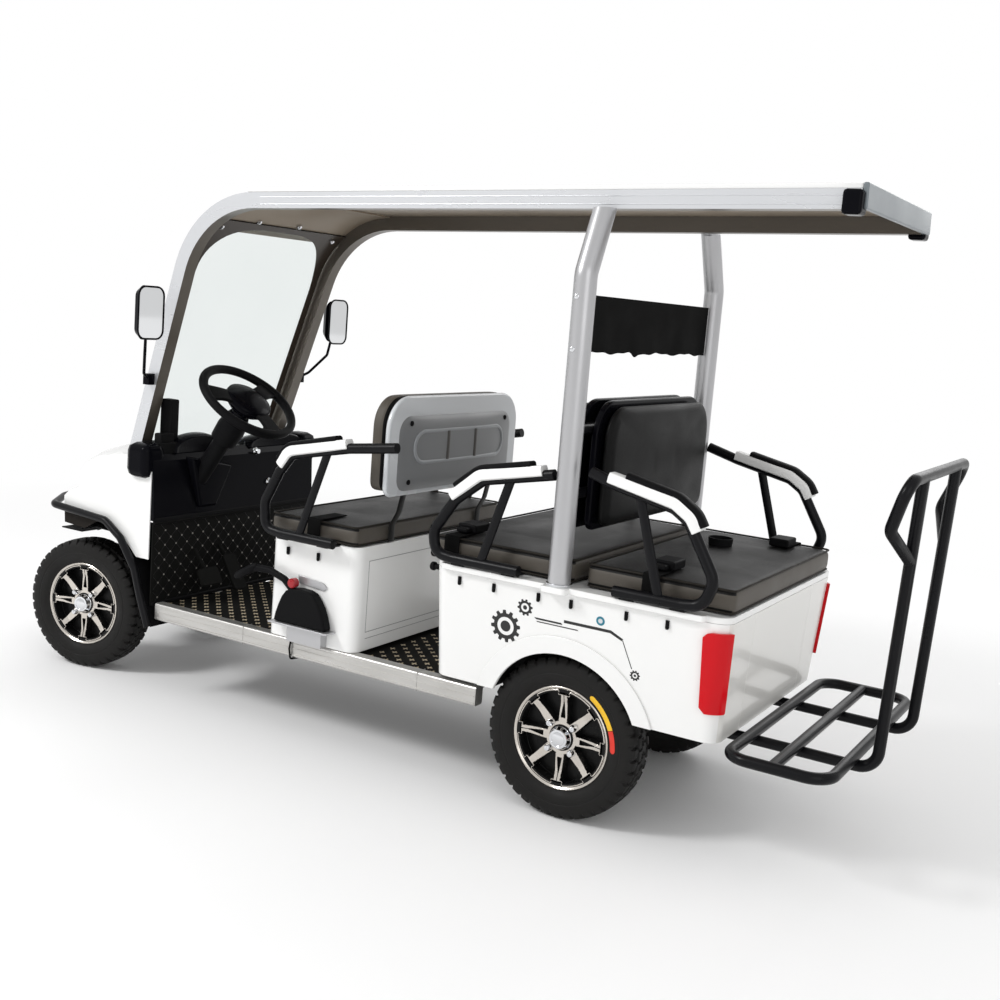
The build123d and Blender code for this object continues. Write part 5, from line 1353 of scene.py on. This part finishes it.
button = [(0, 0.0095), (0.003, 0.0098), (0.007, 0.0080), (0.009, 0.0045), (0.0095, 0)]
piece_of("screen_fasteners", [turned(button, spot, (0, 0.72, -0.69), 20) for spot in
                              ((0.134, -0.721, 1.582), (-0.060, -0.715, 1.585), (-0.280, -0.747, 1.553),
                               (0.280, -0.747, 1.553))], "chrome")

# %% [markdown]
# ## Mirrors
# A mirror is a rounded plate of silvered glass let into a dark shell. The shell's rim is a thin round
# cord of plastic that runs round the glass.

# %% Mirror glass
glass_line, rim_line = rounded_outline(0.101, 0.160, 0.026), rounded_outline(0.104, 0.163, 0.028)
glass_forms, rim_forms = [], []
for side in (1, -1):
    glass_forms.append(plate(glass_line, (side * mirror_x, -0.8472, mirror_z), (-1, 0, 0), (0, 0, 1), 0.0012))
    rim_y = np.full(len(rim_line), -0.8462)
    rim_path = np.column_stack([side * mirror_x + rim_line[:, 0], rim_y, mirror_z + rim_line[:, 1]])
    rim_forms.append(carried(ring(0.0032, 8), rim_path, True))
piece_of("mirror_glass_plates", glass_forms, "mirror_glass", bevel=0.0004)
piece_of("mirror_rims", rim_forms, "black_gloss")

# %% [markdown]
# ## Rear of the driver's seat back
# The pale back shell carries a crowned grey panel with an oval moulding, two short upright bars in
# it, and a screw in each corner. The crown is a dome of the fourth and sixth power, so it stays full
# up to its edges, and all that lies on the panel follows the same function.

# %% Seat back panel
panel_half, panel_middle, panel_crown = np.array([0.318, 0.113]), np.array([0.0, 0.917]), 0.016
across_steps, up_steps = 65, 33
gx, gz = np.meshgrid(np.linspace(-1, 1, across_steps), np.linspace(-1, 1, up_steps), indexing="ij")
plan = np.stack([gx.ravel() * panel_half[0], gz.ravel() * panel_half[1]], 1)
flat = round_plan(plan, panel_half, 0.055, 0.040)


def panel_rise(x, z):
    """Height over the shell's flat back = crown * (1 - x^4) * (1 - z^6), x and z from -1 to 1."""
    x, z = x / panel_half[0], (z - panel_middle[1]) / panel_half[1]
    return panel_crown * (1 - np.abs(x) ** 4) * (1 - np.abs(z) ** 6)


px, pz = flat[:, 0], flat[:, 1] + panel_middle[1]
panel_points = np.stack([px, 0.0268 + 0.0022 + panel_rise(px, pz), pz], 1)
edge = np.maximum(np.abs(gx), np.abs(gz)).ravel() > 0.999
panel_points[edge, 1] = 0.0265
piece_of("seat_back_panel", [(panel_points, grid_faces(across_steps, up_steps))], "shell_grey", smooth=60)

# %% [markdown]
# The oval is a squashed ring carried round a rounded outline. Each of its points is lifted by the
# panel's own height there, and the two bars and the screws are lifted in the same way.

# %% Moulding, slots and screws of the seat back
oval_middle = 0.936
oval = rounded_outline(0.50, 0.094, 0.0465, 14)
oval_z = oval[:, 1] + oval_middle
oval_path = np.stack([oval[:, 0], 0.0285 + panel_rise(oval[:, 0], oval_z), oval_z], 1)
slot_forms = []
for x in (0.078, -0.078):
    z = np.linspace(0.892, 0.980, 9)
    slot_line = np.stack([0 * z + x, 0.0275 + panel_rise(x, z), z], 1)
    slot_forms.append(carried(ring(0.0085, 10, 0.6), slot_line))
# The oval is paler and bluer than the panel: a painted highlight.
piece_of("seat_back_moulding", [carried(ring(0.0062, 10, 0.8), oval_path, True)], "moulding_grey")
# The two bars are dark: painted shade standing in for recessed slots.
piece_of("seat_back_slots", slot_forms, "slot_grey")
screw = [(0, 0.008), (0.003, 0.008), (0.0038, 0.005), (0.0025, 0.004), (0.0022, 0)]
piece_of("seat_back_screws", [
    turned(screw, (x, 0.0285 + float(panel_rise(x, z)), z), (0, 1, 0), 18)
    for x, z in ((0.268, 1.008), (-0.268, 1.008), (0.268, 0.832), (-0.268, 0.832))], "black_moulded")

# %% [markdown]
# ## Seams
# A box cushion is sewn from a top, a bottom and a border, and a corded piping covers each seam.

# %% Piping and seams
piping_forms = []
for bench in ("front_cushion", "middle_cushion", "rear_cushion"):
    low, high = (np.array(v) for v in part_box(bench))
    size, centre = high - low, (high + low) / 2
    outline = rounded_outline(size[0] - 0.009, size[1] - 0.009, 0.014, 5)
    for z in (high[2] - 0.0045, low[2] + 0.007):
        path = np.column_stack([centre[:2] + outline, np.full(len(outline), z)])
        piping_forms.append(carried(ring(0.0030, 8), path, True))
piece_of("seat_piping", piping_forms, "piping")

# %% [markdown]
# ## Seat belts
# The benches have webbing that folds over their edges; on the middle and rear ones it carries a
# moulded buckle. Webbing is a thin flat profile carried along a bent line.

# %% Seat belts
webbing = [(-0.024, -0.0012), (-0.024, 0.0012), (0.024, 0.0012), (0.024, -0.0012)]
belt_forms, buckle_forms = [], []
# columns: side, y, height of the cushion's top
for side, y, top in [(1, 0.905, 0.7305), (-1, 1.010, 0.7305), (1, 0.300, 0.7305), (1, -0.190, 0.7025)]:
    line = bent([(side * 0.290, y, top), (side * 0.4155, y, top), (side * 0.4165, y, top - 0.062)], 0.006, 5)
    along, lengthways = frames_along(line)[0], np.tile((0, 1.0, 0), (len(line), 1))
    belt_forms.append(carried(webbing, line, frames=(along, lengthways, np.cross(along, lengthways))))
    if y > 0:
        # columns: inner and outer x, half width, underside and top above the cushion
        for inner, outer, half, under, over in ((0.265, 0.345, 0.030, 0.001, 0.026),
                                                (0.345, 0.372, 0.018, 0.004, 0.018)):
            low, high = (side * inner, y - half, top + under), (side * outer, y + half, top + over)
            buckle_forms.append(box_form(low, high))
piece_of("seat_belts", belt_forms, "curtain_cloth")
piece_of("belt_buckles", buckle_forms, "black_moulded", bevel=0.005)

# %% [markdown]
# ## Cup ring
# A moulded ring for a cup stands on the rear bench. Its section is a thin wall with a floor.

# %% Cup ring
cup = [(0, 0.033), (0.026, 0.036), (0.030, 0.036), (0.030, 0.0325), (0.005, 0.030), (0.005, 0)]
piece_of("cup_ring", [turned(cup, (-0.115, 0.885, 0.7285), (0, 0, 1), 40)], "black_moulded", smooth=50)

# %% [markdown]
# ## Quilted mats
# The kick board and the floor are covered with quilted black mats. Lines cross in diamonds; the
# board has a bright stud at each crossing, and the floor has a short beige cross-stitch there.

# %% Mats
def crossings(low, high, pitch):
    """Crossing points of a diamond lattice inside a rectangle: two square lattices, half a step apart."""
    spots = []
    for offset in (0, 0.5):
        a = np.arange(low[0] + pitch * (0.25 + offset), high[0] - 0.004, pitch)
        b = np.arange(low[1] + pitch * (0.25 + offset), high[1] - 0.004, pitch)
        ga, gb = np.meshgrid(a, b, indexing="ij")
        spots.append(np.stack([ga.ravel(), gb.ravel()], 1))
    return np.concatenate(spots)


print("a 1 x 1 m mat at 0.1 m has", len(crossings((0, 0), (1, 1), 0.1)), "crossings")

# %% [markdown]
# The board's stitched lines are thin raised strips that stop just short of the studs.

# %% Kick board mat
board_face, mat_top = -0.872, 0.300
half_line = 0.0125
board_spots = crossings((-0.392, 0.312), (0.392, 0.574), 0.050)
stud = [(0, 0.0036), (0.0010, 0.0031), (0.0014, 0)]
stud_forms = [turned(stud, (x, board_face, z), (0, 1, 0), 8) for x, z in board_spots]
piece_of("board_studs", stud_forms, "stud_silver")
strip = [(-half_line, -0.0004), (half_line, -0.0004), (half_line, 0.0004), (-half_line, 0.0004)]
line_forms = []
for x, z in board_spots:
    for tilt in (1, -1):
        slant, square = (-cos(pi / 4), 0, -tilt * sin(pi / 4)), (-sin(pi / 4) * tilt, 0, cos(pi / 4))
        corner = (x + half_line, board_face, z + tilt * half_line)
        line_forms.append(plate(strip, corner, slant, square, 0.0006))
piece_of("board_quilting", line_forms, "quilt_line", clean=False)

# %% [markdown]
# The floor's cross-stitches are two crossed blocks of thread each. None stand under the seat box.

# %% Floor mats
floor_forms = []
for x, y in crossings((-0.356, -0.868), (0.356, 0.254), 0.056):
    if -0.372 < y < -0.026 or (abs(x) > 0.348):
        continue
    for length, width in ((0.0100, 0.0016), (0.0015, 0.0090)):
        low, high = (x - length, y - width, mat_top - 0.0002), (x + length, y + width, mat_top + 0.0007)
        floor_forms.append(box_form(low, high))
piece_of("mat_stitches", floor_forms, "stitch_beige")
print(len(board_spots), "studs,", len(floor_forms) // 2, "stitches")

# %% [markdown]
# ## Dashboard
# The dashboard is a black moulding. Trim strips cover its joints to the kick board and the floor, a
# holder stands on its top, and its two ends are rounded ears. They are boxes with soft edges.

# %% Dashboard trim and ears
dash_forms = [box_form(low, high) for low, high in (
    ((-0.398, -0.880, 0.570), (0.398, -0.8685, 0.594)), ((-0.398, -0.8755, 0.2985), (0.398, -0.866, 0.312)),
    ((0.262, -0.965, 0.806), (0.300, -0.915, 0.978)), ((0.250, -0.970, 0.800), (0.372, -0.895, 0.838)),
    ((0.292, -0.935, 0.826), (0.352, -0.902, 0.868)))]
piece_of("dashboard_trim", dash_forms, "black_moulded", bevel=0.008)
ear_forms = []
for side in (1, -1):
    low, high = sorted((side * 0.340, side * 0.432))
    ear_forms.append(box_form((low, -0.985, 0.722), (high, -0.884, 0.838)))
piece_of("dashboard_ears", ear_forms, "black_gloss", bevel=0.028)

# %% [markdown]
# A pocket bulges out below the driver's hood: a four-sided plate with a smaller one in front of it,
# joined by slanted walls.

# %% Dashboard pocket
pocket_points = np.array([
    (0.272, -0.874, 0.794), (0.064, -0.874, 0.756), (0.118, -0.874, 0.610), (0.206, -0.874, 0.610),
    (0.262, -0.842, 0.788), (0.074, -0.842, 0.752), (0.124, -0.860, 0.616), (0.198, -0.860, 0.616)])
pocket_faces = [[0, 1, 2, 3], [4, 5, 6, 7], [0, 1, 5, 4], [1, 2, 6, 5], [2, 3, 7, 6], [3, 0, 4, 7]]
piece_of("dashboard_pocket", [(pocket_points, pocket_faces)], "black_gloss", bevel=0.006)

# %% [markdown]
# A hood is a row of half ovals, one behind the other. They grow from the windscreen side and end in a
# lip that turns in a little, and the last one is closed by a face.

# %% Dashboard hoods
swing = np.linspace(0, pi, 25)
hood_forms = []
# columns: middle, half width and height of a hood
for middle_x, half_width, tall in ((0.185, 0.118, 0.062), (-0.205, 0.150, 0.046)):
    hood_rows = []
    for y, wide, high in ((-0.985, 0.80, 0.48), (-0.960, 0.94, 0.80), (-0.925, 1, 1), (-0.895, 0.96, 0.94),
                          (-0.888, 0.90, 0.84), (-0.893, 0.80, 0.70)):
        hood_rows.append(np.stack([middle_x + half_width * wide * np.cos(swing), 0 * swing + y,
                                   0.802 + tall * high * np.sin(swing) ** 0.7], 1))
    last = (len(hood_rows) - 1) * len(swing)
    hood_faces = grid_faces(len(hood_rows), len(swing)) + [list(range(last, last + len(swing)))]
    hood_forms.append((np.concatenate(hood_rows), hood_faces))
piece_of("instrument_hood", hood_forms, "black_gloss", smooth=50)

# %% [markdown]
# Two bright knobs stand on the dashboard, and the steering column comes out of it through a short
# shroud. All of them are turned forms; the shroud's axis is the steering wheel's own.

# %% Knobs and column shroud
knob = [(0, 0.0135), (0.004, 0.0135), (0.007, 0.011), (0.012, 0.009), (0.0165, 0.0085), (0.0175, 0)]
piece_of("dashboard_knobs", [turned(knob, (x, -0.877, z), (0, 1, 0), 24) for x, z in
                             ((-0.154, 0.673), (-0.078, 0.790))], "chrome")
shroud = [(0.060, 0.0), (0.060, 0.034), (0.085, 0.044), (0.120, 0.048), (0.170, 0.045), (0.176, 0.0)]
piece_of("column_shroud", [turned(shroud, wheel_middle, -wheel_axis, 32)], "black_moulded")

# %% [markdown]
# ## Parking brake
# The brake stands beside the driver's seat: a domed moulded housing on a steel foot, a bent lever
# with a thick grip, a red release and the steel plate of its linkage. The housing is an outline with
# a thickness, because its two sides are flat.

# %% Brake housing
dome = [(-0.312, 0.371), (-0.306, 0.398), (-0.296, 0.426), (-0.284, 0.453), (-0.271, 0.470),
        (-0.248, 0.481), (-0.219, 0.4845), (-0.190, 0.4835), (-0.168, 0.477), (-0.152, 0.461),
        (-0.136, 0.438), (-0.124, 0.412), (-0.116, 0.388), (-0.113, 0.371)]
piece_of("handbrake_housing", [plate(dome[::-1], (0.4025, 0, 0), (0, 1, 0), (0, 0, 1), 0.036)],
         "black_moulded", "root", "black_paint", ["handbrake"], bevel=0.007)

# %% [markdown]
# The lever and its grip lie in one plane beside the seat box, so their lines are given by two
# coordinates, y and z. The grip is thin at both ends and thick between them.

# %% Brake lever, release and linkage
lever_x = 0.424
lever_corners = [(-0.238, 0.462), (-0.285, 0.502), (-0.345, 0.519), (-0.400, 0.517), (-0.412, 0.512)]
lever_line = bent([(lever_x, y, z) for y, z in lever_corners], 0.03, 6)
grip_points = [(-0.396, 0.526), (-0.410, 0.517), (-0.440, 0.499), (-0.470, 0.481), (-0.479, 0.476)]
grip_line = [(lever_x, y, z) for y, z in grip_points]
lever_grip = carried(ring(0.0180, 14, 0.75), grip_line, scale=[0.55, 0.95, 1, 1, 0.6])
piece_of("handbrake_lever", [tube(lever_line, 0.0108, 14), lever_grip], "black_moulded")
release = [(0, 0.015), (0.018, 0.015), (0.022, 0.012), (0.0235, 0)]
piece_of("handbrake_release", [turned(release, (0.4180, -0.248, 0.497), (1, 0, 0), 24)], "knob_red")
link_plate = [(-0.250, 0.520), (-0.150, 0.509), (-0.136, 0.497), (-0.148, 0.486), (-0.244, 0.494)]
piece_of("handbrake_linkage", [
    plate(link_plate, (0.4015, 0, 0), (0, 1, 0), (0, 0, 1), 0.003),
    box_form((0.4005, -0.325, 0.3645), (0.446, -0.098, 0.3705)),
    box_form((0.4005, -0.262, 0.3155), (0.4300, -0.130, 0.3645)),
], "post_silver", bevel=0.001)

# %% [markdown]
# ## Sills
# The side sill is an aluminium extrusion with ribs along its face, and thin upright lines where its
# lengths meet. A black cable passes round the left one, beside the brake.

# %% Sill ribs
sill_forms = []
for side in (1, -1):
    for z, height, proud in ((0.2635, 0.004, 0.0022), (0.2840, 0.0030, 0.0018), (0.2990, 0.0030, 0.0018)):
        low, high = sorted((side * 0.4005, side * (0.401 + proud)))
        sill_forms.append(box_form((low, -0.846, z), (high, 0.401, z + height)))
    for y in (-0.462, 0.205):
        low, high = sorted((side * 0.360, side * 0.4022))
        sill_forms.append(box_form((low, y - 0.0006, 0.2575), (high, y + 0.0006, 0.3148)))
piece_of("sill_ribs", sill_forms, "sill_metal")
loop_line = bent([(0.370, -0.262, 0.3165), (0.4055, -0.262, 0.3165), (0.408, -0.266, 0.285),
                  (0.4055, -0.262, 0.2525), (0.365, -0.255, 0.2515)], 0.008, 6)
piece_of("sill_cable", [tube(loop_line, 0.0030, 10)], "black_rubber")

# %% [markdown]
# ## Seat box
# The box under the driver's seat has a framed panel at its rear; the gap round the panel is a thin
# dark line.

# %% Seat box panel lines
line_forms = []
for low, high in [((-0.345, 0.590), (0.345, 0.5918)), ((-0.345, 0.372), (0.345, 0.3738)),
                  ((-0.346, 0.372), (-0.3445, 0.5918)), ((0.3445, 0.372), (0.346, 0.5918)),
                  ((-0.345, 0.352), (0.345, 0.3535))]:
    line_forms.append(box_form((low[0], -0.0302, low[1]), (high[0], -0.0295, high[1])))
piece_of("seat_box_joints", line_forms, "shell_grey", clean=False)

# %% [markdown]
# ## Deck latches
# Two round latches on a small plate stand at each front corner of the rear deck.

# %% Deck latches
latch = [(0, 0.0), (0, 0.008), (0.026, 0.008), (0.028, 0.0125), (0.038, 0.0125), (0.041, 0.009), (0.0415, 0)]
latch_forms = [
    turned(latch, (side * 0.386, 0.2585, z), (0, -1, 0), 18) for side in (1, -1) for z in (0.668, 0.628)]
latch_forms += [box_form((side * 0.372, 0.2535, 0.612), (side * 0.400, 0.259, 0.684)) for side in (1, -1)]
piece_of("deck_latches", latch_forms, "black_moulded", bevel=0.001)

# %% [markdown]
# ## Tail lamps
# The lamp is a red moulding that wraps the rear corner. Slanted planes cut back its inner end and
# its top and bottom edges, each cut is closed, and the rim is rounded like a pressed lens.

# %% Tail lamps
lamp_mesh = dress["tail_lamps"].data
form = bmesh.new()
form.from_mesh(lamp_mesh)
for side in (1, -1):
    # columns: a point of each cutting plane (x out from the middle, y, z) and the side that is cut away
    for spot, away in [
        ((0.386, 0, 0.405), (-0.215, 0, 0.025)), ((0, 1.0685, 0), (0, -1, 0)),
        ((0.392, 0, 0.613), (-0.6, 0, 0.8)), ((0.400, 0, 0.6165), (-0.3, 0, 0.95)),
        ((0.382, 0, 0.415), (-0.8, 0, -0.6)),
        ((0, 1.0750, 0.6120), (0, -0.7, 0.7)), ((0, 1.0830, 0.6175), (0, -0.3, 0.95)),
        ((0, 1.0750, 0.4130), (0, -0.7, -0.7)),
    ]:
        lamp_parts = [v for v in form.verts if v.co.x * side > 0]
        lamp_parts += [e for e in form.edges if e.verts[0].co.x * side > 0]
        lamp_parts += [f for f in form.faces if f.verts[0].co.x * side > 0]
        plane_spot, plane_normal = Vector((side * spot[0], *spot[1:])), Vector((side * away[0], *away[1:]))
        bmesh.ops.bisect_plane(form, geom=lamp_parts, dist=1e-6, plane_co=plane_spot,
                               plane_no=plane_normal.normalized(), clear_outer=True)
        bmesh.ops.holes_fill(form, edges=[e for e in form.edges if e.is_boundary])
bmesh.ops.recalc_face_normals(form, faces=form.faces)
form.to_mesh(lamp_mesh)
form.free()
lamp_mesh.shade_smooth()
lamp_mesh.set_sharp_from_angle(angle=smooth_angle)
lens_rim = dress["tail_lamps"].modifiers["rounded"]
lens_rim.width = 0.007
lens_rim.segments = 3
print("tail lamps:", len(lamp_mesh.polygons), "faces")

# %% [markdown]
# ## Underside of the roof
# The roof panel is white above and a glossy brown below, so its faces that look down get their own
# finish.

# %% Underside of the roof
roof_under_mesh = dress["roof_panel"].data
roof_under_mesh.materials.append(finishes["roof_under"])
downward = np.array([polygon.normal.z for polygon in roof_under_mesh.polygons]) < -0.3
roof_under_mesh.polygons.foreach_set("material_index", downward.astype(np.int32))
print(int(downward.sum()), "faces of the roof look down")

# %% [markdown]
# ## Roof edge
# The roof rails are extrusions: two thin ribs run along the outside, and moulded black caps close
# their rear ends. A rib is a thin tube laid on the rail, at a height that rises with the roof.

# %% Rail ribs
rib_radius = 0.0012
rail_tree = surface("roof_rails")
rib_forms = []
for side in (1, -1):
    y = np.linspace(-0.50, 1.286, 40)
    for rise in (0.0330, 0.0120):
        z = 1.605 + (y + 0.533) * 0.02997 + rise
        rib_line = laid(rail_tree, np.column_stack([0 * y + side * 0.8, y, z]), (-side, 0, 0), 0.0004)
        rib_forms.append(tube(rib_line, rib_radius, 8))
piece_of("rail_ribs", rib_forms, "rail_silver")

# %% [markdown]
# A cap is a moulded block that is pushed over the rail's end: a box with well-rounded edges.

# %% Rail caps
cap_forms = []
for side in (1, -1):
    low, high = sorted((side * 0.3105, side * 0.3640))
    cap_forms.append(box_form((low, 1.262, 1.645), (high, 1.3105, 1.7045)))
piece_of("rail_caps", cap_forms, "black_gloss", bevel=0.009)

# %% [markdown]
# ## Floor
# The floor belongs to the studio. It is pale and keeps the cart's shadow, and further out it fades
# into plain white light, so that no horizon line shows. The fade follows the distance from the
# cart's middle, which Object coordinates give on a floor that lies at the origin.

# %% Studio floor
floor_half, fade_from, fade_to = 30, 2.4, 5.0
floor_mesh = bpy.data.meshes.new("studio_floor")
corners = [(x * floor_half, y * floor_half, 0) for x, y in ((-1, -1), (1, -1), (1, 1), (-1, 1))]
floor_mesh.from_pydata(corners, [], [[0, 1, 2, 3]])
floor = bpy.data.objects.new("studio_floor", floor_mesh)
scene.collection.objects.link(floor)
floor_paint = bpy.data.materials.new("studio_floor")
floor_paint.use_nodes = True
floor_nodes, floor_links = floor_paint.node_tree.nodes, floor_paint.node_tree.links
floor_shader = floor_nodes["Principled BSDF"]
floor_shader.inputs["Base Color"].default_value = (0.93, 0.93, 0.93, 1)
floor_shader.inputs["Roughness"].default_value = 0.9
floor_shader.inputs["Specular IOR Level"].default_value = 0.1
place = floor_nodes.new("ShaderNodeTexCoord")
reach = floor_nodes.new("ShaderNodeVectorMath")
reach.operation = "LENGTH"
fade = floor_nodes.new("ShaderNodeMapRange")
fade.inputs["From Min"].default_value = fade_from
fade.inputs["From Max"].default_value = fade_to
glow = floor_nodes.new("ShaderNodeEmission")
glow.inputs["Color"].default_value = (1, 1, 1, 1)
both = floor_nodes.new("ShaderNodeMixShader")
floor_links.new(place.outputs["Object"], reach.inputs[0])
floor_links.new(reach.outputs["Value"], fade.inputs["Value"])
floor_links.new(fade.outputs[0], both.inputs[0])
floor_links.new(floor_shader.outputs[0], both.inputs[1])
floor_links.new(glow.outputs[0], both.inputs[2])
floor_links.new(both.outputs[0], floor_nodes["Material Output"].inputs["Surface"])
floor_mesh.materials.append(floor_paint)
print("floor: pale up to", fade_from, "m, white light from", fade_to, "m")
